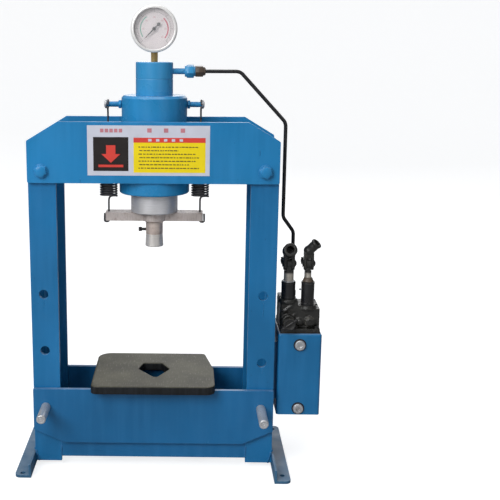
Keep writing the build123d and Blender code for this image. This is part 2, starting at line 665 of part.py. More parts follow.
# ------------------------------------------------------------------ cylinder and ram
def make_cylinder():
    """The housing between the head plates, the thrust collar under them, and the neck above."""
    with BuildPart() as cylinder_housing:
        with BuildSketch(Plane.XZ):
            with BuildLine():
                Polyline(
                    (BORE_R, HEAD_BOTTOM),
                    (HOUSING_R, HEAD_BOTTOM),
                    (HOUSING_R, HOUSING_TOP - HOUSING_CHAMFER),
                    (HOUSING_R - HOUSING_CHAMFER, HOUSING_TOP),
                    (PORT_R, HOUSING_TOP),
                    (PORT_R, BORE_TOP),
                    (BORE_R, BORE_TOP),
                    close=True,
                )
            make_face()
        revolve(axis=Axis.Z)
        with BuildSketch(Plane.YZ.offset(HOUSING_R - ANCHOR_THREAD)):
            with Locations((0, ANCHOR_Z)):
                Circle(ANCHOR_R)
        extrude(amount=2 * ANCHOR_THREAD, mode=Mode.SUBTRACT)
        with BuildSketch(Plane.YZ.offset(-HOUSING_R + ANCHOR_THREAD)):
            with Locations((0, ANCHOR_Z)):
                Circle(ANCHOR_R)
        extrude(amount=-2 * ANCHOR_THREAD, mode=Mode.SUBTRACT)
    cylinder_housing.part.label = "cylinder_housing"
    export_step(cylinder_housing.part, "parts/cylinder_housing.step")

    with BuildPart() as thrust_collar:
        with BuildSketch(Plane.XY.offset(COLLAR_BOTTOM)):
            Circle(COLLAR_R)
            Circle(BORE_R, mode=Mode.SUBTRACT)
        extrude(amount=COLLAR_HEIGHT)
        rims = thrust_collar.edges().filter_by(GeomType.CIRCLE).group_by(Axis.Z)[0]
        chamfer(rims.sort_by(SortBy.RADIUS)[-1], COLLAR_CHAMFER)
    thrust_collar.part.label = "thrust_collar"
    export_step(thrust_collar.part, "parts/thrust_collar.step")

    with BuildPart() as cylinder_neck:
        with BuildSketch(Plane.XZ):
            with BuildLine():
                Polyline(
                    (PORT_R, HOUSING_TOP),
                    (NECK_R, HOUSING_TOP),
                    (NECK_R, NECK_TOP - NECK_GROOVE),
                    (NECK_R - NECK_GROOVE, NECK_TOP),
                    (NECK_R, NECK_TOP + NECK_GROOVE),
                    (NECK_R, PORT_HEAD_TOP - PORT_HEAD_CHAMFER),
                    (NECK_R - PORT_HEAD_CHAMFER, PORT_HEAD_TOP),
                    (PORT_R, PORT_HEAD_TOP),
                    close=True,
                )
            make_face()
        revolve(axis=Axis.Z)
        with BuildSketch(Plane.YZ):
            with Locations((0, PORT_Z)):
                Circle(PORT_R)
        extrude(amount=2 * NECK_R, mode=Mode.SUBTRACT)
    cylinder_neck.part.label = "cylinder_neck"
    export_step(cylinder_neck.part, "parts/cylinder_neck.step")

    with BuildPart() as guide_bush:
        with BuildSketch(Plane.XY.offset(COLLAR_BOTTOM)):
            Circle(BORE_R)
            Circle(RAM_R + RUN_CLEARANCE, mode=Mode.SUBTRACT)
        extrude(amount=BUSH_LENGTH)
    guide_bush.part.label = "guide_bush"
    export_step(guide_bush.part, "parts/guide_bush.step")


def make_ram():
    """The ram with its piston head, tapped below for the nose stud."""
    groove_bottom = PISTON_BOTTOM + (PISTON_HEIGHT - PISTON_SEAL_T) / 2
    groove_top = groove_bottom + PISTON_SEAL_T
    piston_r = BORE_R - RUN_CLEARANCE
    groove_r = piston_r - PISTON_SEAL_DEPTH
    with BuildPart() as ram:
        with BuildSketch(Plane.XZ):
            with BuildLine():
                Polyline(
                    (NOSE_STUD_R, RAM_BOTTOM),
                    (RAM_R - 2, RAM_BOTTOM),
                    (RAM_R, RAM_BOTTOM + 2),
                    (RAM_R, PISTON_BOTTOM),
                    (piston_r, PISTON_BOTTOM),
                    (piston_r, groove_bottom),
                    (groove_r, groove_bottom),
                    (groove_r, groove_top),
                    (piston_r, groove_top),
                    (piston_r, PISTON_TOP),
                    (0, PISTON_TOP),
                    (0, RAM_BOTTOM + NOSE_STUD_IN_RAM),
                    (NOSE_STUD_R, RAM_BOTTOM + NOSE_STUD_IN_RAM),
                    close=True,
                )
            make_face()
        revolve(axis=Axis.Z)
    ram.part.label = "ram"
    export_step(ram.part, "parts/ram.step")

    with BuildPart() as piston_seal:
        with BuildSketch(Plane.XY.offset(groove_bottom)):
            Circle(piston_r)
            Circle(groove_r, mode=Mode.SUBTRACT)
        extrude(amount=PISTON_SEAL_T)
    piston_seal.part.label = "piston_seal"
    export_step(piston_seal.part, "parts/piston_seal.step")


def make_ram_end():
    """The crossbar that the springs pull on, the nose below it, and the exchangeable tip."""
    with BuildPart() as crossbar:
        with BuildSketch(Plane.XY.offset(CROSSBAR_BOTTOM)):
            Rectangle(CROSSBAR_LENGTH, CROSSBAR_DEPTH)
            Circle(CROSSBAR_BOSS_R)
            Circle(NOSE_STUD_R, mode=Mode.SUBTRACT)
            with GridLocations(2 * SPRING_X, 0, 2, 1):
                Circle(SPRING_HOLE_R, mode=Mode.SUBTRACT)
        extrude(amount=CROSSBAR_T)
        chamfer(crossbar.edges().filter_by(Axis.Z).group_by(Axis.X)[0], CROSSBAR_CHAMFER)
        chamfer(crossbar.edges().filter_by(Axis.Z).group_by(Axis.X)[-1], CROSSBAR_CHAMFER)
    crossbar.part.label = "crossbar"
    export_step(crossbar.part, "parts/crossbar.step")

    stud_top = RAM_BOTTOM + NOSE_STUD_IN_RAM
    socket_top = NOSE_BOTTOM + TIP_SHANK_LENGTH + 1
    with BuildPart() as ram_nose:
        with BuildSketch(Plane.XZ):
            with BuildLine():
                Polyline(
                    (0, socket_top),
                    (TIP_SHANK_R, socket_top),
                    (TIP_SHANK_R, NOSE_BOTTOM),
                    (NOSE_R, NOSE_BOTTOM),
                    (NOSE_R, CROSSBAR_BOTTOM - NOSE_CONE_HEIGHT),
                )
                Spline(
                    (NOSE_R, CROSSBAR_BOTTOM - NOSE_CONE_HEIGHT),
                    (NOSE_TOP_R, CROSSBAR_BOTTOM),
                    tangents=((0, 1), (1, 0.25)),
                )
                Polyline(
                    (NOSE_TOP_R, CROSSBAR_BOTTOM),
                    (NOSE_STUD_R, CROSSBAR_BOTTOM),
                    (NOSE_STUD_R, stud_top),
                    (0, stud_top),
                    (0, socket_top),
                )
            make_face()
        revolve(axis=Axis.Z)
        with BuildSketch(Plane.YZ):
            with Locations((0, SET_SCREW_Z)):
                Circle(SET_SCREW_R + RUN_CLEARANCE)
        extrude(amount=-2 * NOSE_R, mode=Mode.SUBTRACT)
    ram_nose.part.label = "ram_nose"
    export_step(ram_nose.part, "parts/ram_nose.step")

    with BuildPart() as press_tip:
        with BuildSketch(Plane.XZ):
            with BuildLine():
                Polyline(
                    (0, TIP_BOTTOM),
                    (TIP_BOTTOM_R - 1, TIP_BOTTOM),
                    (TIP_BOTTOM_R, TIP_BOTTOM + 1),
                    (TIP_TOP_R, NOSE_BOTTOM),
                    (TIP_SHANK_R, NOSE_BOTTOM),
                    (TIP_SHANK_R, NOSE_BOTTOM + TIP_SHANK_LENGTH),
                    (0, NOSE_BOTTOM + TIP_SHANK_LENGTH),
                    close=True,
                )
            make_face()
        revolve(axis=Axis.Z)
    press_tip.part.label = "press_tip"
    export_step(press_tip.part, "parts/press_tip.step")

    with BuildPart() as set_screw:
        with BuildSketch(Plane.YZ.offset(-SET_SCREW_REACH)):
            with Locations((0, SET_SCREW_Z)):
                Circle(SET_SCREW_HEAD_R)
                RegularPolygon(2.0, 6, major_radius=False, mode=Mode.SUBTRACT)
        extrude(amount=SET_SCREW_HEAD_T)
        with BuildSketch(Plane.YZ.offset(-SET_SCREW_REACH + SET_SCREW_HEAD_T / 2)):
            with Locations((0, SET_SCREW_Z)):
                Circle(SET_SCREW_R)
        extrude(amount=SET_SCREW_REACH - SET_SCREW_HEAD_T / 2 - TIP_SHANK_R - 0.2)
    set_screw.part.label = "set_screw"
    export_step(set_screw.part, "parts/set_screw.step")


def make_spring_anchors():
    """Two headed studs screwed into the sides of the housing, from which the springs hang."""
    with BuildPart() as spring_anchors:
        for hand in SIDES.values():
            with BuildSketch(Plane.YZ.offset(hand * (HOUSING_R - ANCHOR_THREAD))):
                with Locations((0, ANCHOR_Z)):
                    Circle(ANCHOR_R)
            extrude(amount=hand * (ANCHOR_THREAD + ANCHOR_REACH))
            with BuildSketch(Plane.YZ.offset(hand * (HOUSING_R + ANCHOR_REACH - ANCHOR_HEAD_T))):
                with Locations((0, ANCHOR_Z)):
                    Circle(ANCHOR_HEAD_R)
            extrude(amount=hand * ANCHOR_HEAD_T)
    spring_anchors.part.label = "spring_anchors"
    export_step(spring_anchors.part, "parts/spring_anchors.step")


def make_return_spring(side, hand):
    """The outer shape of an extension spring: an eye on the stud, the coil, and a lower hook."""
    eye_inner = ANCHOR_R + SPRING_EYE_GAP
    eye_outer = eye_inner + SPRING_EYE_WALL
    foot_top = CROSSBAR_BOTTOM - SPRING_EYE_GAP
    with BuildPart() as return_spring:
        with BuildSketch(Plane.XY.offset(SPRING_COIL_BOTTOM)):
            with Locations((hand * SPRING_X, 0)):
                Circle(SPRING_R)
        extrude(amount=SPRING_COIL_LENGTH)
        with BuildSketch(Plane.XY.offset(foot_top)):
            with Locations((hand * SPRING_X, 0)):
                Circle(SPRING_WIRE_R)
        extrude(amount=ANCHOR_Z - eye_inner - 1 - foot_top)
        with BuildSketch(Plane.YZ.offset(hand * SPRING_X)):
            with Locations((0, ANCHOR_Z)):
                Circle(eye_outer)
                Circle(eye_inner, mode=Mode.SUBTRACT)
        extrude(amount=SPRING_EYE_T / 2, both=True)
        with BuildSketch(Plane.XY.offset(foot_top - SPRING_FOOT_T)):
            with Locations((hand * SPRING_X, 0)):
                Circle(SPRING_FOOT_R)
        extrude(amount=SPRING_FOOT_T)
    return_spring.part.label = f"{side}_return_spring"
    export_step(return_spring.part, f"parts/{side}_return_spring.step")


# ------------------------------------------------------------------ pressure gauge
def make_gauge():
    """A round gauge that faces the operator, with its Bourdon tube, movement and needle."""
    case_centre = (0, 0, GAUGE_Z)
    inner_r = GAUGE_R - GAUGE_WALL
    facing = Plane(case_centre, x_dir=(1, 0, 0), z_dir=(0, -1, 0))

    with BuildPart() as gauge_case:
        with BuildSketch(facing.offset(-GAUGE_BACK)):
            Circle(GAUGE_R)
        extrude(amount=GAUGE_BACK + GAUGE_FRONT)
        back_rim = gauge_case.edges().filter_by(GeomType.CIRCLE).sort_by(Axis.Y)[-1]
        fillet(back_rim, CASE_BACK_R)
        with BuildSketch(facing.offset(-GAUGE_BACK + GAUGE_WALL)):
            Circle(inner_r)
        extrude(amount=GAUGE_BACK + GAUGE_FRONT, mode=Mode.SUBTRACT)
        with BuildSketch(Plane.XY.offset(GAUGE_Z - GAUGE_R - CASE_STEM_CUT / 2)):
            RegularPolygon(STEM_AF / 2, 6, major_radius=False, rotation=30)
        extrude(amount=CASE_STEM_CUT, mode=Mode.SUBTRACT)
    gauge_case.part.label = "gauge_case"
    export_step(gauge_case.part, "parts/gauge_case.step")

    with BuildPart() as gauge_bezel:
        with BuildSketch(facing.offset(GAUGE_FRONT - BEZEL_DEPTH + BEZEL_LIP_T)):
            Circle(BEZEL_R)
            Circle(GAUGE_R, mode=Mode.SUBTRACT)
        extrude(amount=BEZEL_DEPTH - BEZEL_LIP_T)
        with BuildSketch(facing.offset(GAUGE_FRONT)):
            Circle(BEZEL_R)
            Circle(BEZEL_LIP_R, mode=Mode.SUBTRACT)
        extrude(amount=BEZEL_LIP_T)
        front_rims = gauge_bezel.edges().filter_by(GeomType.CIRCLE).group_by(Axis.Y)[0]
        front_rim = front_rims.sort_by(SortBy.RADIUS)[-1]
        fillet(front_rim, BEZEL_EDGE_R)
    gauge_bezel.part.label = "gauge_bezel"
    export_step(gauge_bezel.part, "parts/gauge_bezel.step")

    with BuildPart() as gauge_dial:
        with BuildSketch(facing.offset(GAUGE_FRONT - DIAL_SET_BACK - DIAL_T)):
            Circle(inner_r)
            Circle(NEEDLE_SPINDLE_R + RUN_CLEARANCE, mode=Mode.SUBTRACT)
        extrude(amount=DIAL_T)
    gauge_dial.part.label = "gauge_dial"
    export_step(gauge_dial.part, "parts/gauge_dial.step")

    with BuildPart() as gauge_glass:
        with BuildSketch(facing.offset(GAUGE_FRONT - GLASS_T)):
            Circle(inner_r)
        extrude(amount=GLASS_T)
    gauge_glass.part.label = "gauge_glass"
    export_step(gauge_glass.part, "parts/gauge_glass.step")

    movement_back = facing.offset(-GAUGE_BACK + GAUGE_WALL)
    movement_depth = GAUGE_BACK + GAUGE_FRONT - GAUGE_WALL - DIAL_SET_BACK - DIAL_T - 1
    with BuildPart() as gauge_movement:
        with BuildSketch(movement_back):
            Rectangle(MOVEMENT_WIDTH, MOVEMENT_HEIGHT)
            Circle(NEEDLE_SPINDLE_R + RUN_CLEARANCE, mode=Mode.SUBTRACT)
        extrude(amount=movement_depth)
    gauge_movement.part.label = "gauge_movement"
    export_step(gauge_movement.part, "parts/gauge_movement.step")

    tube_start = Plane((0, BOURDON_Y, GAUGE_Z - BOURDON_R), x_dir=(0, 1, 0), z_dir=(1, 0, 0))
    tube_axis = Axis((0, 0, GAUGE_Z), (0, 1, 0))
    with BuildPart() as bourdon_tube:
        with BuildSketch(tube_start):
            Ellipse(BOURDON_TUBE_R, BOURDON_TUBE_R / 2)
        revolve(axis=tube_axis, revolution_arc=BOURDON_ARC)
    bourdon_tube.part.label = "bourdon_tube"
    export_step(bourdon_tube.part, "parts/bourdon_tube.step")

    with BuildPart() as gauge_needle:
        with BuildSketch(facing.offset(-NEEDLE_Y)):
            with BuildLine():
                tip_x, tip_z = polar(NEEDLE_LENGTH, NEEDLE_START)
                tail_x, tail_z = polar(-NEEDLE_TAIL + NEEDLE_HUB_R, NEEDLE_START)
                side_x, side_z = polar(NEEDLE_HALF_WIDTH, NEEDLE_START + 90)
                Polyline(
                    (tip_x, tip_z),
                    (side_x, side_z),
                    (tail_x, tail_z),
                    (-side_x, -side_z),
                    close=True,
                )
            make_face()
            Circle(NEEDLE_HUB_R)
            with Locations((tail_x, tail_z)):
                Circle(NEEDLE_WEIGHT_R)
        extrude(amount=NEEDLE_T)
        with BuildSketch(facing.offset(-NEEDLE_Y - NEEDLE_SPINDLE_LENGTH)):
            Circle(NEEDLE_SPINDLE_R)
        extrude(amount=NEEDLE_SPINDLE_LENGTH)
    gauge_needle.part.label = "gauge_needle"
    export_step(gauge_needle.part, "parts/gauge_needle.step")

    with BuildPart() as gauge_stem:
        with BuildSketch(Plane.XY.offset(PORT_HEAD_TOP)):
            RegularPolygon(STEM_AF / 2, 6, major_radius=False, rotation=30)
        extrude(amount=GAUGE_Z - STEM_TOP_DROP - PORT_HEAD_TOP)
        with BuildSketch(tube_start):
            Ellipse(BOURDON_TUBE_R, BOURDON_TUBE_R / 2)
        revolve(axis=tube_axis, revolution_arc=BOURDON_ARC, mode=Mode.SUBTRACT)
        with BuildSketch(Plane.XY.offset(PORT_HEAD_TOP)):
            Circle(STEM_THREAD_R)
        extrude(amount=-STEM_THREAD_LENGTH)
    gauge_stem.part.label = "gauge_stem"
    export_step(gauge_stem.part, "parts/gauge_stem.step")


def polar(distance, angle):
    """The two coordinates of a point at a distance and an angle in degrees."""
    return distance * sin(radians(angle + 90)), distance * sin(radians(angle))


# ------------------------------------------------------------------ oil pipe
def make_pipe_fittings():
    """The nipple, adapter and nut at the port head, and the nut on the pump block."""
    with BuildPart() as pipe_nipple:
        with BuildSketch(Plane.YZ.offset(NECK_R - NIPPLE_SOCKET)):
            with Locations((0, PORT_Z)):
                Circle(PORT_R)
        extrude(amount=NIPPLE_SOCKET)
        with BuildSketch(Plane.YZ.offset(NECK_R)):
            with Locations((0, PORT_Z)):
                Circle(NIPPLE_R)
        extrude(amount=NIPPLE_LENGTH)
    pipe_nipple.part.label = "pipe_nipple"
    export_step(pipe_nipple.part, "parts/pipe_nipple.step")

    with BuildPart() as pipe_adapter:
        with BuildSketch(Plane.YZ.offset(ADAPTER_X)):
            with Locations((0, PORT_Z)):
                RegularPolygon(ADAPTER_AF / 2, 6, major_radius=False)
        extrude(amount=ADAPTER_LENGTH)
        chamfer(pipe_adapter.faces().filter_by(Axis.X).edges(), ADAPTER_CHAMFER)
    pipe_adapter.part.label = "pipe_adapter"
    export_step(pipe_adapter.part, "parts/pipe_adapter.step")

    with BuildPart() as pipe_nuts:
        with BuildSketch(Plane.YZ.offset(PIPE_NUT_X)):
            with Locations((0, PORT_Z)):
                RegularPolygon(PIPE_NUT_AF / 2, 6, major_radius=False)
        extrude(amount=PIPE_NUT_LENGTH)
        chamfer(pipe_nuts.faces().sort_by(Axis.X)[-1].edges(), PIPE_NUT_CHAMFER)
        with BuildSketch(Plane.YZ.offset(PIPE_START_X)):
            with Locations((0, PORT_Z)):
                Circle(PIPE_R)
        extrude(amount=PIPE_SEAT, mode=Mode.SUBTRACT)
        with BuildSketch(Plane.XY.offset(PAD_TOP)):
            with Locations((OUTLET_X, OUTLET_Y)):
                RegularPolygon(OUTLET_NUT_AF / 2, 6, major_radius=False)
        extrude(amount=OUTLET_NUT_HEIGHT)
        outlet_rim = pipe_nuts.faces().filter_by(Axis.Z).sort_by(Axis.Z)[-1]
        chamfer(outlet_rim.edges(), PIPE_NUT_CHAMFER)
        with BuildSketch(Plane.XY.offset(PAD_TOP + OUTLET_NUT_HEIGHT - PIPE_SEAT)):
            with Locations((OUTLET_X, OUTLET_Y)):
                Circle(PIPE_R)
        extrude(amount=PIPE_SEAT, mode=Mode.SUBTRACT)
    pipe_nuts.part.label = "pipe_nuts"
    export_step(pipe_nuts.part, "parts/pipe_nuts.step")


def make_oil_pipe():
    """The formed steel pipe: out level, down at a slant, down beside the upright, then a jog."""
    level_end = PIPE_NUT_X + PIPE_NUT_LENGTH + PIPE_LEVEL_RUN
    with BuildPart() as oil_pipe:
        with BuildLine():
            FilletPolyline(
                (PIPE_START_X, 0, PORT_Z),
                (level_end, 0, PORT_Z),
                (PIPE_DROP_X, 0, HEAD_END_TOP + PIPE_BEND_ABOVE_HEAD),
                (PIPE_DROP_X, 0, PIPE_JOG_Z),
                (OUTLET_X, OUTLET_Y, PIPE_JOG_Z - PIPE_JOG_DROP),
                (OUTLET_X, OUTLET_Y, PAD_TOP + OUTLET_NUT_HEIGHT - PIPE_SEAT),
                radius=[PIPE_BEND_R, PIPE_BEND_R, PIPE_JOG_BEND_R, PIPE_JOG_BEND_R],
            )
        with BuildSketch(Plane((PIPE_START_X, 0, PORT_Z), z_dir=(1, 0, 0))):
            Circle(PIPE_R)
        sweep()
    oil_pipe.part.label = "oil_pipe"
    export_step(oil_pipe.part, "parts/oil_pipe.step")


# ------------------------------------------------------------------ tank
def make_tank():
    """The sheet-steel oil tank, with a mouth under the pump block and two plug bosses."""
    with BuildPart() as tank:
        with BuildSketch(Plane.XY.offset(TANK_BOTTOM)):
            with Locations((TANK_MID_X, 0)):
                RectangleRounded(TANK_WIDTH, TANK_DEPTH, TANK_CORNER_R)
        extrude(amount=TANK_HEIGHT)
        fillet(tank.faces().sort_by(Axis.Z)[-1].edges(), TANK_RIM_R)
        with BuildSketch(Plane.XY.offset(TANK_BOTTOM + TANK_WALL)):
            with Locations((TANK_MID_X, 0)):
                RectangleRounded(
                    TANK_WIDTH - 2 * TANK_WALL, TANK_DEPTH - 2 * TANK_WALL, TANK_CORNER_R - TANK_WALL
                )
        extrude(amount=TANK_HEIGHT - 2 * TANK_WALL, mode=Mode.SUBTRACT)
        with BuildSketch(Plane.XY.offset(TANK_TOP - TANK_WALL)):
            with Locations((TANK_MID_X, 0)):
                Circle(TANK_MOUTH_R)
        extrude(amount=TANK_WALL, mode=Mode.SUBTRACT)
        with BuildSketch(Plane.XZ.offset(TANK_DEPTH / 2 - TANK_WALL)):
            with Locations((TANK_MID_X, FILLER_Z), (TANK_MID_X, DRAIN_Z)):
                Circle(PLUG_BOSS_R)
        extrude(amount=-PLUG_BOSS_T)
        with BuildSketch(Plane.XZ.offset(TANK_DEPTH / 2)):
            with Locations((TANK_MID_X, FILLER_Z), (TANK_MID_X, DRAIN_Z)):
                Circle(PLUG_THREAD_R)
        extrude(amount=-TANK_WALL - PLUG_BOSS_T, mode=Mode.SUBTRACT)
    tank.part.label = "tank"
    export_step(tank.part, "parts/tank.step")

    with BuildPart() as tank_gasket:
        with BuildSketch(Plane.XY.offset(TANK_TOP)):
            with Locations((BLOCK_MID_X, 0)):
                Rectangle(BLOCK_WIDTH, BLOCK_FLANGE_DEPTH)
            with Locations((TANK_MID_X, 0)):
                Circle(TANK_MOUTH_R, mode=Mode.SUBTRACT)
            with Locations(*BLOCK_BOLT_PLACES):
                Circle(BLOCK_BOLT_R, mode=Mode.SUBTRACT)
        extrude(amount=GASKET_T)
    tank_gasket.part.label = "tank_gasket"
    export_step(tank_gasket.part, "parts/tank_gasket.step")


def make_tank_plugs():
    """The filler and drain plugs, alike, with hexagon sockets, in the front of the tank."""
    places = [(TANK_MID_X, FILLER_Z), (TANK_MID_X, DRAIN_Z)]
    tank_front = TANK_DEPTH / 2
    with BuildPart() as tank_plugs:
        with BuildSketch(Plane.XZ.offset(tank_front)):
            with Locations(*places):
                Circle(PLUG_HEAD_R)
        extrude(amount=PLUG_HEAD_T)
        plug_fronts = tank_plugs.faces().sort_by(Axis.Y)[:2]
        chamfer(plug_fronts.edges(), PLUG_CHAMFER)
        with BuildSketch(Plane.XZ.offset(tank_front + PLUG_HEAD_T)):
            with Locations(*places):
                RegularPolygon(PLUG_SOCKET_AF / 2, 6, major_radius=False)
        extrude(amount=-PLUG_HEAD_T + 1, mode=Mode.SUBTRACT)
        with BuildSketch(Plane.XZ.offset(tank_front)):
            with Locations(*places):
                Circle(PLUG_THREAD_R)
        extrude(amount=-TANK_WALL - PLUG_BOSS_T)
    tank_plugs.part.label = "tank_plugs"
    export_step(tank_plugs.part, "parts/tank_plugs.step")


def make_tank_fixings():
    """The plate between the upright's web and the tank, and the bolts through both."""
    with BuildPart() as tank_bracket:
        with BuildSketch(Plane.YZ.offset(HALF_WIDTH)):
            with Locations((0, BRACKET_MID_Z)):
                Rectangle(BRACKET_DEPTH, BRACKET_HEIGHT)
                with GridLocations(TANK_BOLT_SPACING_Y, TANK_BOLT_SPACING_Z, 2, 2):
                    Circle(TANK_BOLT_R, mode=Mode.SUBTRACT)
        extrude(amount=BRACKET_T)
    tank_bracket.part.label = "tank_bracket"
    export_step(tank_bracket.part, "parts/tank_bracket.step")

    with BuildPart() as tank_bolts:
        with BuildSketch(Plane.YZ.offset(HALF_WIDTH - WEB_T)):
            with Locations((0, BRACKET_MID_Z)):
                with GridLocations(TANK_BOLT_SPACING_Y, TANK_BOLT_SPACING_Z, 2, 2):
                    RegularPolygon(TANK_BOLT_AF / 2, 6, major_radius=False)
        extrude(amount=-TANK_BOLT_HEAD_T)
        with BuildSketch(Plane.YZ.offset(HALF_WIDTH - WEB_T)):
            with Locations((0, BRACKET_MID_Z)):
                with GridLocations(TANK_BOLT_SPACING_Y, TANK_BOLT_SPACING_Z, 2, 2):
                    Circle(TANK_BOLT_R)
        extrude(amount=WEB_T + BRACKET_T)
    tank_bolts.part.label = "tank_bolts"
    export_step(tank_bolts.part, "parts/tank_bolts.step")


# ------------------------------------------------------------------ pump
def make_pump_block():
    """The cast block on the tank: a stepped top, a flange below, and the pump chambers."""
    with BuildPart() as pump_block:
        with BuildSketch(Plane.XY.offset(BLOCK_BOTTOM)):
            with Locations((BLOCK_MID_X, 0)):
                Rectangle(BLOCK_WIDTH, BLOCK_DEPTH)
        extrude(amount=BLOCK_HEIGHT)
        with BuildSketch(Plane.XY.offset(BLOCK_TOP)):
            with Locations((BLOCK_X + BLOCK_PAD_WIDTH / 2, 0)):
                Rectangle(BLOCK_PAD_WIDTH, BLOCK_DEPTH)
        extrude(amount=BLOCK_PAD_RISE)
        fillet(pump_block.edges().filter_by(Axis.Z), BLOCK_CAST_R)
        with BuildSketch(Plane.XY.offset(BLOCK_BOTTOM)):
            with Locations((BLOCK_MID_X, 0)):
                RectangleRounded(BLOCK_WIDTH, BLOCK_FLANGE_DEPTH, BLOCK_CAST_R)
        extrude(amount=BLOCK_FLANGE_T)
        with BuildSketch(Plane.XY.offset(BLOCK_BOTTOM)):
            with Locations(*BLOCK_BOLT_PLACES):
                Circle(BLOCK_BOLT_R)
        extrude(amount=BLOCK_FLANGE_T, mode=Mode.SUBTRACT)
        with BuildSketch(Plane.XY.offset(BLOCK_BOTTOM + CHAMBER_FLOOR)):
            with Locations((LOW_PUMP_X, PUMP_Y)):
                Circle(LOW_PLUNGER_R + CHAMBER_CLEARANCE)
            with Locations((HIGH_PUMP_X, PUMP_Y)):
                Circle(HIGH_PLUNGER_R + CHAMBER_CLEARANCE)
            with Locations((OUTLET_X, OUTLET_Y)):
                Circle(PORT_R / 2)
        extrude(amount=BLOCK_HEIGHT + BLOCK_PAD_RISE, mode=Mode.SUBTRACT)
        with BuildSketch(Plane.XZ.offset(BLOCK_FRONT)):
            with Locations((BLOCK_X + RELEASE_OFFSET, BLOCK_BOTTOM + RELEASE_RISE)):
                Circle(RELEASE_SPINDLE_R + RUN_CLEARANCE)
        extrude(amount=-RELEASE_SPINDLE_DEPTH - 1, mode=Mode.SUBTRACT)
        with BuildSketch(Plane.XZ.offset(BLOCK_FRONT)):
            with Locations(CHECK_CAP_PLACE, RELIEF_CAP_PLACE):
                Circle(CAP_THREAD_R)
        extrude(amount=-CAP_THREAD_LENGTH, mode=Mode.SUBTRACT)
    pump_block.part.label = "pump_block"
    export_step(pump_block.part, "parts/pump_block.step")

    with BuildPart() as block_bolts:
        with BuildSketch(Plane.XY.offset(BLOCK_BOTTOM + BLOCK_FLANGE_T)):
            with Locations(*BLOCK_BOLT_PLACES):
                Circle(BLOCK_BOLT_HEAD_R)
        extrude(amount=BLOCK_BOLT_HEAD_T)
        with BuildSketch(Plane.XY.offset(TANK_TOP)):
            with Locations(*BLOCK_BOLT_PLACES):
                Circle(BLOCK_BOLT_R)
        extrude(amount=GASKET_T + BLOCK_FLANGE_T)
    block_bolts.part.label = "block_bolts"
    export_step(block_bolts.part, "parts/block_bolts.step")

    with BuildPart() as valve_caps:
        with BuildSketch(Plane.XZ.offset(BLOCK_FRONT)):
            with Locations(CHECK_CAP_PLACE):
                RegularPolygon(CHECK_CAP_AF / 2, 6, major_radius=False)
            with Locations(RELIEF_CAP_PLACE):
                RegularPolygon(RELIEF_CAP_AF / 2, 6, major_radius=False)
        extrude(amount=CAP_T)
        chamfer(valve_caps.faces().sort_by(Axis.Y)[:2].edges(), CAP_CHAMFER)
        with BuildSketch(Plane.XZ.offset(BLOCK_FRONT)):
            with Locations(CHECK_CAP_PLACE, RELIEF_CAP_PLACE):
                Circle(CAP_THREAD_R)
        extrude(amount=-CAP_THREAD_LENGTH)
    valve_caps.part.label = "valve_caps"
    export_step(valve_caps.part, "parts/valve_caps.step")


def make_release_valve():
    """The release valve: a spindle into the block, a round knob and a bar through it."""
    valve_x = BLOCK_X + RELEASE_OFFSET
    valve_z = BLOCK_BOTTOM + RELEASE_RISE
    knob_back = BLOCK_FRONT + RELEASE_KNOB_GAP
    bar_y = -(knob_back + RELEASE_KNOB_LENGTH - RELEASE_BAR_R - RELEASE_BAR_INSET)
    bar_way = (sin(radians(90 - RELEASE_BAR_ANGLE)), 0, sin(radians(RELEASE_BAR_ANGLE)))
    with BuildPart() as release_valve:
        with BuildSketch(Plane.XZ.offset(knob_back)):
            with Locations((valve_x, valve_z)):
                Circle(RELEASE_SPINDLE_R)
        extrude(amount=-RELEASE_KNOB_GAP - RELEASE_SPINDLE_DEPTH)
        with BuildSketch(Plane.XZ.offset(knob_back)):
            with Locations((valve_x, valve_z)):
                Circle(RELEASE_KNOB_R)
        extrude(amount=RELEASE_KNOB_LENGTH)
        chamfer(release_valve.edges().filter_by(GeomType.CIRCLE).sort_by(Axis.Y)[0], RELEASE_KNOB_CHAMFER)
        with BuildSketch(Plane((valve_x, bar_y, valve_z), z_dir=bar_way)):
            Circle(RELEASE_BAR_R)
        extrude(amount=RELEASE_BAR_LENGTH / 2, both=True)
    release_valve.part.label = "release_valve"
    export_step(release_valve.part, "parts/release_valve.step")


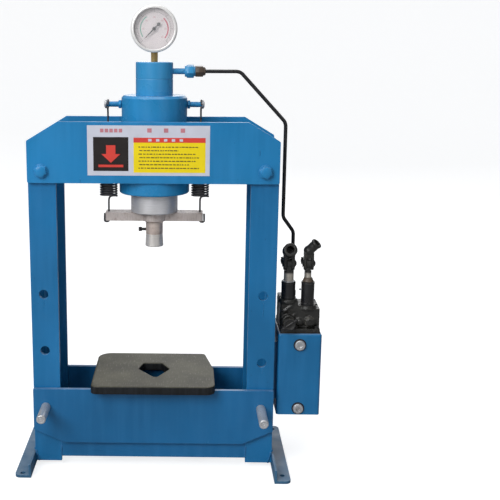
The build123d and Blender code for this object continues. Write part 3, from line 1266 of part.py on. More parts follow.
def make_barrel(name, pump_x, seat, barrel_r, plunger_r, gland_height):
    """A pump barrel with a seal groove, a lip that guides the plunger, and a gland cone or none."""
    seal_top = BARREL_TOP - SEAL_DEPTH
    lip_r = plunger_r + RUN_CLEARANCE
    chamber_r = plunger_r + CHAMBER_CLEARANCE
    groove_r = plunger_r + SEAL_WALL
    with BuildPart() as barrel:
        with BuildSketch(Plane.XY.offset(seat)):
            with Locations((pump_x, PUMP_Y)):
                Circle(barrel_r)
                Circle(lip_r, mode=Mode.SUBTRACT)
        extrude(amount=BARREL_TOP - seat)
        if gland_height > 0:
            with BuildSketch(Plane.XY.offset(BARREL_TOP)):
                with Locations((pump_x, PUMP_Y)):
                    Circle(GLAND_R)
            with BuildSketch(Plane.XY.offset(BARREL_TOP + gland_height)):
                with Locations((pump_x, PUMP_Y)):
                    Circle(plunger_r + GLAND_WALL)
            loft()
            with BuildSketch(Plane.XY.offset(BARREL_TOP)):
                with Locations((pump_x, PUMP_Y)):
                    Circle(lip_r)
            extrude(amount=gland_height, mode=Mode.SUBTRACT)
            with BuildSketch(Plane.YZ.offset(pump_x - barrel_r + VENT_SEAT)):
                with Locations((PUMP_Y, BLOCK_TOP + VENT_RISE)):
                    Circle(VENT_R)
            extrude(amount=-VENT_SEAT, mode=Mode.SUBTRACT)
        with BuildSketch(Plane.XY.offset(seat)):
            with Locations((pump_x, PUMP_Y)):
                Circle(chamber_r)
        extrude(amount=seal_top - SEAL_T - seat, mode=Mode.SUBTRACT)
        with BuildSketch(Plane.XY.offset(seal_top - SEAL_T)):
            with Locations((pump_x, PUMP_Y)):
                Circle(groove_r)
        extrude(amount=SEAL_T, mode=Mode.SUBTRACT)
    barrel.part.label = name
    export_step(barrel.part, f"parts/{name}.step")


def make_pump_seals():
    """The two plunger seals in their grooves, and the small vent screw of the slim barrel."""
    with BuildPart() as plunger_seals:
        with BuildSketch(Plane.XY.offset(BARREL_TOP - SEAL_DEPTH - SEAL_T)):
            for pump_x, plunger_r in ((LOW_PUMP_X, LOW_PLUNGER_R), (HIGH_PUMP_X, HIGH_PLUNGER_R)):
                with Locations((pump_x, PUMP_Y)):
                    Circle(plunger_r + SEAL_WALL)
                    Circle(plunger_r + RUN_CLEARANCE, mode=Mode.SUBTRACT)
        extrude(amount=SEAL_T)
    plunger_seals.part.label = "plunger_seals"
    export_step(plunger_seals.part, "parts/plunger_seals.step")

    with BuildPart() as vent_screw:
        with BuildSketch(Plane.YZ.offset(HIGH_PUMP_X - HIGH_BARREL_R + VENT_SEAT)):
            with Locations((PUMP_Y, BLOCK_TOP + VENT_RISE)):
                Circle(VENT_R)
        extrude(amount=-VENT_SEAT - VENT_PROUD)
        chamfer(vent_screw.faces().sort_by(Axis.X)[0].edges(), VENT_EDGE)
    vent_screw.part.label = "vent_screw"
    export_step(vent_screw.part, "parts/vent_screw.step")


def make_plunger(name, pump_x, plunger_r):
    """A plunger with a flat eye; the eye's slot lets the lever's pin follow its arc."""
    travel_back = PUMP_ARM * (1 - sin(radians(90 - LEVER_SWING)))
    slot_length = 2 * (PIVOT_PIN_R + SLOT_PLAY) + SLOT_BACK + travel_back + SLOT_BACK
    slot_middle = PUMP_Y + (travel_back + SLOT_BACK - SLOT_BACK) / 2
    shoulder = PIVOT_Z - PLUNGER_SHOULDER
    with BuildPart() as plunger:
        with BuildSketch(Plane.XY.offset(PLUNGER_BOTTOM)):
            with Locations((pump_x, PUMP_Y)):
                Circle(plunger_r)
        extrude(amount=shoulder - PLUNGER_BOTTOM)
        with BuildSketch(Plane.YZ.offset(pump_x)):
            with Locations((PUMP_Y, PIVOT_Z)):
                SlotOverall(EYE_LENGTH, EYE_HEIGHT)
            with Locations((PUMP_Y, PIVOT_Z - PLUNGER_SHOULDER / 2)):
                Rectangle(2 * min(plunger_r, EYE_HEIGHT / 2), PLUNGER_SHOULDER)
        extrude(amount=EYE_T / 2, both=True)
        with BuildSketch(Plane.YZ.offset(pump_x)):
            with Locations((slot_middle, PIVOT_Z)):
                SlotOverall(slot_length, 2 * (PIVOT_PIN_R + SLOT_PLAY))
        extrude(amount=EYE_T, both=True, mode=Mode.SUBTRACT)
    plunger.part.label = name
    export_step(plunger.part, f"parts/{name}.step")


def make_lever(name, pump_x, cheek_t, rise, socket_r, knuckle_r, direction):
    """A forked pump lever: two cheeks, a crown over the eye, and a socket for the handle bar."""
    half_gap = EYE_T / 2 + CHEEK_GAP
    half_width = half_gap + cheek_t
    knuckle = (pump_x, PUMP_Y, PIVOT_Z + rise)
    socket_plane = Plane(knuckle, z_dir=direction)
    with BuildPart() as lever:
        with BuildSketch(Plane.YZ.offset(pump_x)):
            with Locations(((PUMP_Y + PIVOT_Y) / 2, PIVOT_Z)):
                SlotCenterToCenter(PUMP_ARM, 2 * CHEEK_R)
            with Locations((PUMP_Y, PIVOT_Z - CHEEK_DROP)):
                Circle(CHEEK_R)
            with Locations((PUMP_Y, PIVOT_Z + (CROWN_TOP - CHEEK_DROP) / 2)):
                Rectangle(2 * CHEEK_R, CROWN_TOP + CHEEK_DROP)
        extrude(amount=half_width, both=True)
        with Locations(knuckle):
            Sphere(knuckle_r)
        with BuildSketch(socket_plane):
            Circle(socket_r)
        extrude(amount=SOCKET_LENGTH)
        with BuildSketch(Plane.XY.offset(PIVOT_Z - 2 * CHEEK_R)):
            with Locations((pump_x, PUMP_Y + PUMP_ARM / 2)):
                Rectangle(2 * half_gap, PUMP_ARM + 6 * CHEEK_R)
        extrude(amount=2 * CHEEK_R + CROWN_RISE, mode=Mode.SUBTRACT)
        with BuildSketch(Plane.YZ.offset(pump_x)):
            with Locations((PUMP_Y, PIVOT_Z), (PIVOT_Y, PIVOT_Z)):
                Circle(PIVOT_PIN_R)
        extrude(amount=2 * half_width, both=True, mode=Mode.SUBTRACT)
        with BuildSketch(socket_plane.offset(SOCKET_LENGTH)):
            Circle(SOCKET_BORE_R)
        extrude(amount=-SOCKET_BORE_DEPTH, mode=Mode.SUBTRACT)
    lever.part.label = name
    export_step(lever.part, f"parts/{name}.step")


def make_lever_pins(name, pump_x, cheek_t):
    """The two cross pins of a lever, held in its cheeks."""
    half_length = EYE_T / 2 + CHEEK_GAP + cheek_t + PIVOT_PIN_PROUD
    with BuildPart() as lever_pins:
        with BuildSketch(Plane.YZ.offset(pump_x)):
            with Locations((PUMP_Y, PIVOT_Z), (PIVOT_Y, PIVOT_Z)):
                Circle(PIVOT_PIN_R)
        extrude(amount=half_length, both=True)
        chamfer(lever_pins.edges().filter_by(GeomType.CIRCLE), PIVOT_PIN_CHAMFER)
    lever_pins.part.label = name
    export_step(lever_pins.part, f"parts/{name}.step")


def make_fulcrum_posts():
    """The posts behind the barrels that carry the levers' pivots."""
    with BuildPart() as fulcrum_posts:
        for pump_x, seat in ((LOW_PUMP_X, PAD_TOP), (HIGH_PUMP_X, BLOCK_TOP)):
            with BuildSketch(Plane.YZ.offset(pump_x)):
                with Locations((PIVOT_Y, (seat + PIVOT_Z) / 2)):
                    Rectangle(POST_DEPTH, PIVOT_Z - seat)
                with Locations((PIVOT_Y, PIVOT_Z)):
                    Circle(CHEEK_R)
                    Circle(PIVOT_PIN_R + RUN_CLEARANCE, mode=Mode.SUBTRACT)
            extrude(amount=POST_T / 2, both=True)
            with BuildSketch(Plane.XY.offset(seat)):
                with Locations((pump_x, PIVOT_Y)):
                    Circle(POST_FOOT_R)
            extrude(amount=POST_FOOT_T)
    fulcrum_posts.part.label = "fulcrum_posts"
    export_step(fulcrum_posts.part, "parts/fulcrum_posts.step")


# ------------------------------------------------------------------ build
os.makedirs("parts", exist_ok=True)

for side_name, side_hand in SIDES.items():
    make_upright(side_name, side_hand)
    make_foot(side_name, side_hand)
    make_support_pin(side_name, side_hand)
    make_return_spring(side_name, side_hand)

for end_name, end_facing in {"front": -1, "rear": 1}.items():
    make_head_plate(f"head_{end_name}_plate", end_facing)
    make_bed_plate(f"bed_{end_name}_plate", end_facing)

make_braces()
make_bed_spacers()
make_head_fasteners()
make_press_plate()
make_cylinder()
make_ram()
make_ram_end()
make_spring_anchors()
make_gauge()
make_pipe_fittings()
make_oil_pipe()
make_tank()
make_tank_plugs()
make_tank_fixings()
make_pump_block()
make_release_valve()
make_pump_seals()
make_fulcrum_posts()

make_barrel("low_barrel", LOW_PUMP_X, PAD_TOP, LOW_BARREL_R, LOW_PLUNGER_R, 0)
make_plunger("low_plunger", LOW_PUMP_X, LOW_PLUNGER_R)
make_lever(
    "low_lever",
    LOW_PUMP_X,
    LOW_CHEEK_T,
    LOW_SOCKET_RISE,
    LOW_SOCKET_R,
    LOW_KNUCKLE_R,
    LOW_SOCKET_DIRECTION,
)
make_lever_pins("low_lever_pins", LOW_PUMP_X, LOW_CHEEK_T)

make_barrel("high_barrel", HIGH_PUMP_X, BLOCK_TOP, HIGH_BARREL_R, HIGH_PLUNGER_R, GLAND_HEIGHT)
make_plunger("high_plunger", HIGH_PUMP_X, HIGH_PLUNGER_R)
make_lever(
    "high_lever",
    HIGH_PUMP_X,
    HIGH_CHEEK_T,
    HIGH_SOCKET_RISE,
    HIGH_SOCKET_R,
    HIGH_KNUCKLE_R,
    HIGH_SOCKET_DIRECTION,
)
make_lever_pins("high_lever_pins", HIGH_PUMP_X, HIGH_CHEEK_T)
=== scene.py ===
# %% [markdown]
# # A bench press with a hand pump
# This lesson dresses an H-frame hydraulic press for its picture. Its frame is rolled channel and thick
# plate under blue enamel, with a cylinder, a pressure gauge, two return springs and a two-stage hand pump.
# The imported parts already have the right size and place, so they stay, and gain finishes. Pieces whose
# real shape is finer, such as wound springs or rough castings, are modelled anew over them.

# %% Load the frame
import math
import random

import bmesh
import bpy
from mathutils import Matrix, Vector
from mathutils import noise as field


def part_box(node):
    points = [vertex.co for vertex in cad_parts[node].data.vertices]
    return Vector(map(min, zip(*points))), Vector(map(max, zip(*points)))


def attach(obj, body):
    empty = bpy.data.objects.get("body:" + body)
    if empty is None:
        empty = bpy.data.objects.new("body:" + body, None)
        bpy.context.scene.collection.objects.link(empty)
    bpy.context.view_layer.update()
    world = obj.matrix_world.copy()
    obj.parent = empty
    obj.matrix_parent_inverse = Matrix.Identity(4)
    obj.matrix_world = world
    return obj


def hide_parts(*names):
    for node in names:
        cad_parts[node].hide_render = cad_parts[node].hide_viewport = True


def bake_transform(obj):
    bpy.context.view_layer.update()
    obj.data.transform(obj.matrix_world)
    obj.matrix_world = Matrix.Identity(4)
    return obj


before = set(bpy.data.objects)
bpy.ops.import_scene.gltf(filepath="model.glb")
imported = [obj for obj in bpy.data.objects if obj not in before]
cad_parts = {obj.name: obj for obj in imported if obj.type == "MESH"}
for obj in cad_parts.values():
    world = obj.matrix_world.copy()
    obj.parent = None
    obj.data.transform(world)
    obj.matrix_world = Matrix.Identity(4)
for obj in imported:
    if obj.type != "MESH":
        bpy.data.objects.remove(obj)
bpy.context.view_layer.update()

MM = 0.001
FRONT = (0, -1, 0)
BACK = (0, 1, 0)
RIGHT = (1, 0, 0)
LEFT = (-1, 0, 0)
UP = (0, 0, 1)
scatter = random.Random(20)
scene = bpy.context.scene

# %% [markdown]
# The picture is taken by someone standing in front of the press, a little above its middle and looking
# down. The camera could be aimed with a constraint, but a turn worked out from yaw, pitch and roll says
# exactly how it was held. A small sideways shift frames the press left of the middle, as a view camera's
# rising front would, and keeps the uprights upright.

# %% Camera
CAMERA_PLACE = (0.0674, -2.0167, 0.9154)
CAMERA_YAW = -0.95
CAMERA_PITCH = 12.39
CAMERA_ROLL = 0.22
CAMERA_LENS = 68.4
CAMERA_SHIFT = 0.16

yaw, pitch, roll = (math.radians(a) for a in (CAMERA_YAW, CAMERA_PITCH, CAMERA_ROLL))
ahead = Vector((math.sin(yaw) * math.cos(pitch), math.cos(yaw) * math.cos(pitch), -math.sin(pitch)))
level = Vector((math.cos(yaw), -math.sin(yaw), 0))
upward = level.cross(ahead)
rightward = math.cos(roll) * level + math.sin(roll) * upward
upward = math.cos(roll) * upward - math.sin(roll) * level
camera = bpy.data.objects.new("camera", bpy.data.cameras.new("camera"))
camera.data.lens = CAMERA_LENS
camera.data.shift_x = CAMERA_SHIFT
camera.matrix_world = Matrix.Translation(CAMERA_PLACE) @ Matrix(
    (rightward, upward, -ahead)
).transposed().to_4x4()
scene.collection.objects.link(camera)
scene.camera = camera
scene.view_settings.view_transform = "Standard"
print("camera stands", round((Vector(CAMERA_PLACE) - Vector((0, 0, 0.5))).length, 2), "m away")

# %% [markdown]
# A node material is a small recipe, and most recipes here repeat the same few steps: make a node, set its
# sockets, and link it to the one before. One short helper does that, and it takes either a number or
# another node's output for each socket. Noise and a two-colour ramp come up so often that they get
# helpers of their own.

# %% Node helpers
def add_node(tree, kind, sockets, **settings):
    """Adds a node; each socket is given a value, or another node's output to be linked to."""
    made = tree.nodes.new(kind)
    for key, value in settings.items():
        setattr(made, key, value)
    for socket, value in sockets.items():
        if isinstance(value, bpy.types.NodeSocket):
            tree.links.new(value, made.inputs[socket])
        else:
            made.inputs[socket].default_value = value
    return made


def noise(tree, scale, detail=3.0, stretch=(1, 1, 1), roughness=0.5):
    """Cloudy noise that is fixed to the object; stretch above 1 makes it finer along that axis."""
    where = add_node(tree, "ShaderNodeTexCoord", {}).outputs["Object"]
    where = add_node(tree, "ShaderNodeMapping", {"Vector": where, "Scale": stretch}).outputs["Vector"]
    clouds = add_node(
        tree, "ShaderNodeTexNoise", {
            "Vector": where, "Scale": scale, "Detail": detail, "Roughness": roughness,
        }
    )
    return clouds.outputs["Fac"]


def between(tree, value, low, high, start=0.0, end=1.0):
    """Maps a value from low..high to start..end and clamps it."""
    ramp = add_node(
        tree,
        "ShaderNodeMapRange",
        {"Value": value, "From Min": low, "From Max": high, "To Min": start, "To Max": end},
    )
    return ramp.outputs["Result"]


def mixed(tree, amount, first, second):
    """Mixes two colours."""
    mix = add_node(tree, "ShaderNodeMix", {"Factor": amount}, data_type="RGBA")
    for socket, colour in ((mix.inputs[6], first), (mix.inputs[7], second)):
        if isinstance(colour, bpy.types.NodeSocket):
            tree.links.new(colour, socket)
        else:
            socket.default_value = (*colour, 1)
    return mix.outputs[2]


def times(tree, first, second):
    """Multiplies two values."""
    return add_node(tree, "ShaderNodeMath", {0: first, 1: second}, operation="MULTIPLY").outputs[0]


def blank_finish(name):
    """A new material and its node tree, with an unlinked principled shader."""
    finish = bpy.data.materials.new(name)
    finish.use_nodes = True
    shader = finish.node_tree.nodes["Principled BSDF"]
    return finish, finish.node_tree, shader


def edges_worn(tree, width):
    """How close a point is to an outside edge, from 0 to 1, and the rounded normal there."""
    rounded = add_node(tree, "ShaderNodeBevel", {"Radius": width}, samples=6).outputs["Normal"]
    true = add_node(tree, "ShaderNodeNewGeometry", {}).outputs["Normal"]
    alike = add_node(tree, "ShaderNodeVectorMath", {0: rounded, 1: true}, operation="DOT_PRODUCT")
    return between(tree, alike.outputs["Value"], 0.995, 0.80), rounded


def rough_skin(tree, shader, height, strength, distance, normal=None):
    """Gives the shader a bump from a height, over a rounded normal if there is one."""
    sockets = {"Height": height, "Strength": strength, "Distance": distance}
    if normal is not None:
        sockets["Normal"] = normal
    bump = add_node(tree, "ShaderNodeBump", sockets)
    tree.links.new(bump.outputs["Normal"], shader.inputs["Normal"])


print("node helpers ready")

# %% [markdown]
# The frame is sprayed with blue enamel over plate and channel that is not perfectly clean. Real enamel is
# never one colour: it is thinner and lighter on edges, a little darker where it ran, dusty on top, and
# dimpled like an orange skin. A single colour would look like plastic. Here noise moves the colour
# gently, the bevel node finds edges to lighten, and the dust gathers on faces that look up.

# %% Blue enamel
def enamel(name, colour, gloss=0.34, wear=0.55):
    """Sprayed enamel: run marks, dust, light edges and a fine orange skin."""
    finish, tree, shader = blank_finish(name)
    deep = tuple(c * 0.80 for c in colour)
    pale = tuple(min(1, c * 1.10 + 0.012) for c in colour)
    patches = between(tree, noise(tree, 5.0, 4.0), 0.35, 0.65)
    body = mixed(tree, patches, deep, colour)
    runs = between(tree, noise(tree, 9.0, 2.0, (6, 6, 0.6)), 0.42, 0.72)
    body = mixed(tree, times(tree, runs, 0.40), body, pale)
    worn, rounded = edges_worn(tree, 0.0016)
    broken = between(tree, noise(tree, 60.0, 5.0), 0.40, 0.62)
    edge = times(tree, times(tree, worn, broken), wear)
    body = mixed(tree, edge, body, tuple(min(1, c * 1.6 + 0.09) for c in colour))
    facing = add_node(
        tree, "ShaderNodeSeparateXYZ", {
            "Vector": add_node(tree, "ShaderNodeNewGeometry", {}).outputs["Normal"]
        }
    ).outputs["Z"]
    dust = times(
        tree, between(tree, facing, 0.55, 1.0),
        between(tree, noise(tree, 25.0, 4.0), 0.30, 0.75, 0.05, 0.32),
    )
    body = mixed(tree, dust, body, (0.46, 0.50, 0.54))
    specks = between(tree, noise(tree, 190.0, 2.0), 0.72, 0.78)
    body = mixed(tree, times(tree, specks, 0.6), body, tuple(c * 0.45 for c in colour))
    tree.links.new(body, shader.inputs["Base Color"])
    rough = between(tree, noise(tree, 14.0, 4.0), 0.3, 0.7, gloss - 0.06, gloss + 0.12)
    tree.links.new(rough, shader.inputs["Roughness"])
    shader.inputs["Specular IOR Level"].default_value = 0.30
    shader.inputs["Coat Weight"].default_value = 0.08
    shader.inputs["Coat Roughness"].default_value = 0.22
    rough_skin(tree, shader, noise(tree, 420.0, 2.0), 0.10, 0.0006, rounded)
    return finish


# The head, uprights and bed carry one blue paint in three copies: lighter on the high head and darker on
# the low bed, as painted light and shade from above.
ENAMEL_PAINTED_LIT = (0.015, 0.215, 0.485)
ENAMEL_PAINTED_HALF_SHADE = (0.010, 0.166, 0.395)
ENAMEL_PAINTED_SHADE = (0.010, 0.144, 0.350)
head_enamel_painted_lit = enamel("head_enamel_painted_lit", ENAMEL_PAINTED_LIT)
upright_enamel_painted_half_shade = enamel("upright_enamel_painted_half_shade", ENAMEL_PAINTED_HALF_SHADE)
bed_enamel_painted_shade = enamel("bed_enamel_painted_shade", ENAMEL_PAINTED_SHADE, gloss=0.38)
foot_enamel = enamel("foot_enamel", (0.040, 0.135, 0.250), gloss=0.48, wear=0.9)
cylinder_enamel = enamel("cylinder_enamel", (0.020, 0.240, 0.520), gloss=0.26, wear=0.4)
neck_enamel = enamel("neck_enamel", (0.040, 0.285, 0.570), gloss=0.26, wear=0.4)
print("six blue enamels, from the cylinder's gloss to the scuffed feet")

# %% [markdown]
# The bare metals differ in how they were made. A ground ram has fine rings round it, a turned nose is
# browned by age, rolled bar keeps a dull skin with rust in it, and zinc plate has a soft bloom. One
# recipe with a few dials covers them all: two tones, stretched scratches, spots of rust, and a
# roughness that moves with the scratches.

# %% Bare metals
def bare_metal(name, bright, dull, rough=0.35, rust=0.0, grain=(1, 1, 1), metal=1.0, grain_size=90.0):
    """Bare or plated metal with tone patches, stretched grain and spots of rust."""
    finish, tree, shader = blank_finish(name)
    tone = mixed(tree, between(tree, noise(tree, 22.0, 5.0), 0.35, 0.65), dull, bright)
    lines = noise(tree, grain_size, 3.0, grain)
    tone = mixed(tree, between(tree, lines, 0.45, 0.8, 0.0, 0.35), tone, tuple(c * 0.55 for c in dull))
    spots = times(tree, between(tree, noise(tree, 55.0, 6.0, roughness=0.65), 0.54, 0.66), rust)
    worn, rounded = edges_worn(tree, 0.0008)
    tone = mixed(tree, times(tree, worn, 0.45), tone, tuple(min(1, c * 1.25 + 0.05) for c in bright))
    tone = mixed(tree, spots, tone, (0.16, 0.075, 0.035))
    tree.links.new(tone, shader.inputs["Base Color"])
    tree.links.new(between(tree, spots, 0.0, 1.0, metal, 0.1), shader.inputs["Metallic"])
    tree.links.new(
        between(tree, lines, 0.3, 0.7, rough - 0.08, rough + 0.14), shader.inputs["Roughness"],
    )
    rough_skin(tree, shader, lines, 0.12, 0.0004, rounded)
    return finish


RINGS = (0.3, 0.3, 14)
ram_steel = bare_metal("ground_ram", (0.80, 0.80, 0.83), (0.66, 0.66, 0.67), 0.38, 0.04, RINGS, 0.6)
bar_steel = bare_metal("rolled_bar", (0.60, 0.54, 0.52), (0.45, 0.40, 0.38), 0.50, 0.35, (4, 1, 1), 0.5)
nose_steel = bare_metal("turned_nose", (0.80, 0.70, 0.63), (0.54, 0.45, 0.41), 0.42, 0.30, RINGS, 0.5)
tip_steel = bare_metal("turned_tip", (0.88, 0.85, 0.82), (0.72, 0.69, 0.66), 0.36, 0.08, RINGS, 0.55)
zinc = bare_metal("zinc_plate", (0.62, 0.64, 0.66), (0.46, 0.47, 0.49), 0.36, 0.10, (1, 1, 1), 0.7)
pin_steel = bare_metal("pin_steel", (0.66, 0.68, 0.70), (0.52, 0.53, 0.55), 0.32, 0.12, (1, 14, 1), 0.6)
stainless = bare_metal("stainless", (0.90, 0.89, 0.88), (0.76, 0.75, 0.74), 0.40, 0.0, (1, 1, 1), 0.45)
brass = bare_metal("brass", (0.58, 0.42, 0.17), (0.38, 0.27, 0.12), 0.36, 0.05, (1, 1, 1), 0.9)
bronze = bare_metal("bronze", (0.42, 0.26, 0.11), (0.28, 0.17, 0.08), 0.40, 0.05, RINGS, 0.9)

plunger_steel, tree, shader = blank_finish("plunger_steel")
height = add_node(tree, "ShaderNodeTexCoord", {}).outputs["Object"]
height = add_node(tree, "ShaderNodeSeparateXYZ", {"Vector": height}).outputs["Z"]
# Above the ground length the plunger goes near black: partly its blacked eye, partly painted shade under
# the lever.
blacked_and_shaded = between(tree, height, 0.428, 0.433)
grind = noise(tree, 90.0, 3.0, RINGS)
ground = mixed(tree, between(tree, grind, 0.35, 0.7), (0.34, 0.31, 0.27), (0.72, 0.68, 0.60))
tree.links.new(mixed(tree, blacked_and_shaded, ground, (0.020, 0.020, 0.019)), shader.inputs["Base Color"])
tree.links.new(between(tree, blacked_and_shaded, 0.0, 1.0, 0.6, 0.1), shader.inputs["Metallic"])
tree.links.new(between(tree, grind, 0.3, 0.7, 0.34, 0.50), shader.inputs["Roughness"])
rough_skin(tree, shader, grind, 0.12, 0.0004, edges_worn(tree, 0.0008)[1])
print("nine bare metals, and plungers that are blacked above their ground length")

# %% [markdown]
# Black parts are of three kinds: lacquered wire and tube, blacked screws, and the pump's cast iron, which
# is painted over a rough skin, oily and chipped. They share a recipe, since all are dark with brighter
# wear on their edges, and only the size of the skin's bumps tells wire from casting.

# %% Black finishes
def black_coat(name, colour, worn_colour, rough, skin_size, skin_height, wear):
    """Black lacquer or paint over metal, worn bright at the edges, with oily patches."""
    finish, tree, shader = blank_finish(name)
    tone = mixed(
        tree, between(tree, noise(tree, 30.0, 5.0), 0.35, 0.7), colour, tuple(c * 1.9 for c in colour),
    )
    worn, rounded = edges_worn(tree, 0.0012)
    patch = between(tree, noise(tree, 75.0, 5.0, roughness=0.6), 0.42, 0.60)
    tone = mixed(tree, times(tree, times(tree, worn, patch), wear), tone, worn_colour)
    dirt = between(tree, noise(tree, 48.0, 6.0, roughness=0.7), 0.58, 0.72, 0.0, 0.5)
    tone = mixed(tree, dirt, tone, (0.085, 0.072, 0.058))
    tree.links.new(tone, shader.inputs["Base Color"])
    oily = between(tree, noise(tree, 26.0, 3.0), 0.45, 0.62, rough, rough * 0.55)
    tree.links.new(oily, shader.inputs["Roughness"])
    rough_skin(tree, shader, noise(tree, skin_size, 4.0), skin_height, 0.0012, rounded)
    return finish


# The cast iron's pale worn edges are partly real wear and partly painted highlights, standing in for the
# glints on the caps and knob.
pump_iron = black_coat("pump_iron", (0.011, 0.011, 0.010), (0.26, 0.25, 0.21), 0.42, 210.0, 0.70, 1.0)
black_lacquer = black_coat(
    "black_lacquer", (0.006, 0.006, 0.007), (0.16, 0.15, 0.14), 0.40, 500.0, 0.15, 0.6,
)
spring_lacquer = black_coat(
    "spring_lacquer", (0.030, 0.030, 0.034), (0.34, 0.33, 0.33), 0.34, 600.0, 0.10, 1.0,
)
case_enamel = black_coat(
    "case_enamel", (0.022, 0.022, 0.022), (0.20, 0.20, 0.20), 0.35, 700.0, 0.08, 0.5,
)
nut_steel = black_coat("rusty_nut", (0.050, 0.036, 0.026), (0.30, 0.20, 0.13), 0.50, 260.0, 0.30, 0.9)
needle_black = black_coat(
    "needle_black", (0.010, 0.010, 0.011), (0.04, 0.04, 0.04), 0.55, 900.0, 0.05, 0.2,
)
print("six black finishes")

# %% [markdown]
# What is left is soft, printed or clear: seals and gaskets, the dial's matt white, the label's inks and
# the gauge's glass. Print is flat but not even, so each ink has a slow fade and a fine tooth. The glass
# is a thin clear sheet that lets the dial through and keeps a sharp highlight.

# %% Soft, printed and clear finishes
def matt_coat(name, colour, rough=0.55, mottle=0.10, tooth=0.05, tooth_size=500.0):
    """A flat, uneven coat: ink, printed sheet, rubber or fibre."""
    finish, tree, shader = blank_finish(name)
    faded = tuple(c * (1 - mottle) for c in colour)
    tone = mixed(tree, between(tree, noise(tree, 34.0, 5.0), 0.35, 0.68), colour, faded)
    tree.links.new(tone, shader.inputs["Base Color"])
    tree.links.new(
        between(tree, noise(tree, 70.0), 0.3, 0.7, rough - 0.06, rough + 0.08),
        shader.inputs["Roughness"],
    )
    shader.inputs["Specular IOR Level"].default_value = 0.3
    rough_skin(tree, shader, noise(tree, tooth_size), tooth, 0.0005)
    return finish


seal_rubber = matt_coat("seal_rubber", (0.020, 0.020, 0.022), 0.65, 0.3, 0.3)
gasket_fibre = matt_coat("gasket_fibre", (0.045, 0.036, 0.030), 0.8, 0.3, 0.5, 300.0)
dial_white = matt_coat("dial_white", (0.80, 0.73, 0.74), 0.5, 0.05)
dial_black = matt_coat("dial_black", (0.10, 0.08, 0.09))
dial_green = matt_coat("dial_green", (0.10, 0.42, 0.30))
dial_red = matt_coat("dial_red", (0.62, 0.06, 0.12))
label_grey = matt_coat("label_grey", (0.60, 0.62, 0.71), 0.45, 0.08)
label_black = matt_coat("label_black", (0.018, 0.014, 0.014), 0.45, 0.2)
label_yellow = matt_coat("label_yellow", (0.88, 0.69, 0.008), 0.45, 0.06)
label_red = matt_coat("label_red", (0.70, 0.060, 0.045), 0.45, 0.10)
label_ink = matt_coat("label_ink", (0.17, 0.13, 0.02), 0.5, 0.2)
header_ink = matt_coat("header_ink", (0.56, 0.22, 0.26), 0.5, 0.2)

gauge_clear, tree, shader = blank_finish("gauge_clear")
shader.inputs["Base Color"].default_value = (0.95, 0.96, 0.97, 1)
shader.inputs["Alpha"].default_value = 0.12
shader.inputs["IOR"].default_value = 1.5
smear = between(tree, noise(tree, 18.0, 5.0), 0.35, 0.7, 0.03, 0.14)
tree.links.new(smear, shader.inputs["Roughness"])
print("soft, printed and clear finishes ready")

# %% [markdown]
# Flame-cut plate is its own case. The torch leaves the top with a dull grey scale, smeared with oil, and
# the cut side dark and full of upright drag lines; the sides are made almost black, partly burnt skin and
# partly painted shade for faces that the light from above misses. The recipe looks at which way a face
# points: faces that look up take the scale, faces that look sideways take the burnt and shaded lines.

# %% Flame-cut plate
flame_cut, tree, shader = blank_finish("flame_cut")
scale_tone = mixed(
    tree, between(tree, noise(tree, 14.0, 6.0), 0.35, 0.68), (0.044, 0.042, 0.027),
    (0.090, 0.085, 0.057),
)
rubbed = between(tree, noise(tree, 60.0, 4.0, (8, 1, 1)), 0.56, 0.74, 0.0, 0.5)
scale_tone = mixed(tree, rubbed, scale_tone, (0.125, 0.118, 0.088))
drag_lines = noise(tree, 160.0, 3.0, (1, 1, 0.10))
# Sideways faces: burnt skin with drag lines, darkened to near black as painted shade.
burnt_and_shaded = mixed(tree, between(tree, drag_lines, 0.35, 0.7), (0.003, 0.004, 0.005), (0.012, 0.014, 0.017))
plate_normal = add_node(tree, "ShaderNodeNewGeometry", {}).outputs["Normal"]
looks_up = add_node(tree, "ShaderNodeSeparateXYZ", {"Vector": plate_normal}).outputs["Z"]
tree.links.new(
    mixed(tree, between(tree, looks_up, 0.35, 0.8), burnt_and_shaded, scale_tone), shader.inputs["Base Color"],
)
shader.inputs["Metallic"].default_value = 0.35
tree.links.new(between(tree, rubbed, 0.0, 0.5, 0.52, 0.34), shader.inputs["Roughness"])
rough_skin(tree, shader, noise(tree, 130.0, 5.0), 0.22, 0.0008)
print("flame-cut plate ready")

# %% [markdown]
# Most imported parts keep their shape, so they only need the right finish. A plain list of finish and parts
# is easier to check than a chain of rules, and the count at the end shows that nothing was missed.

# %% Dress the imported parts
DRESSED = {
    head_enamel_painted_lit: "head_front_plate head_rear_plate head_bolts head_nuts",
    upright_enamel_painted_half_shade: "left_upright right_upright tank_bracket tank",
    bed_enamel_painted_shade: "bed_front_plate bed_rear_plate bed_spacers braces",
    foot_enamel: "left_foot right_foot",
    cylinder_enamel: "cylinder_housing thrust_collar",
    neck_enamel: "cylinder_neck pipe_nipple pipe_adapter",
    ram_steel: "ram",
    plunger_steel: "low_plunger high_plunger",
    bar_steel: "crossbar",
    nose_steel: "ram_nose",
    tip_steel: "press_tip",
    zinc: "tank_bolts vent_screw tank_plugs",
    pin_steel: "left_support_pin right_support_pin",
    stainless: "gauge_bezel",
    brass: "gauge_stem gauge_movement",
    bronze: "guide_bush bourdon_tube",
    pump_iron: "pump_block fulcrum_posts low_lever high_lever release_valve valve_caps",
    black_lacquer: "low_barrel high_barrel oil_pipe block_bolts set_screw spring_anchors "
    "low_lever_pins high_lever_pins",
    spring_lacquer: "left_return_spring right_return_spring",
    case_enamel: "gauge_case",
    nut_steel: "pipe_nuts",
    needle_black: "gauge_needle",
    seal_rubber: "piston_seal plunger_seals",
    gasket_fibre: "tank_gasket",
    dial_white: "gauge_dial",
    gauge_clear: "gauge_glass",
    flame_cut: "press_plate",
}
dressed = set()
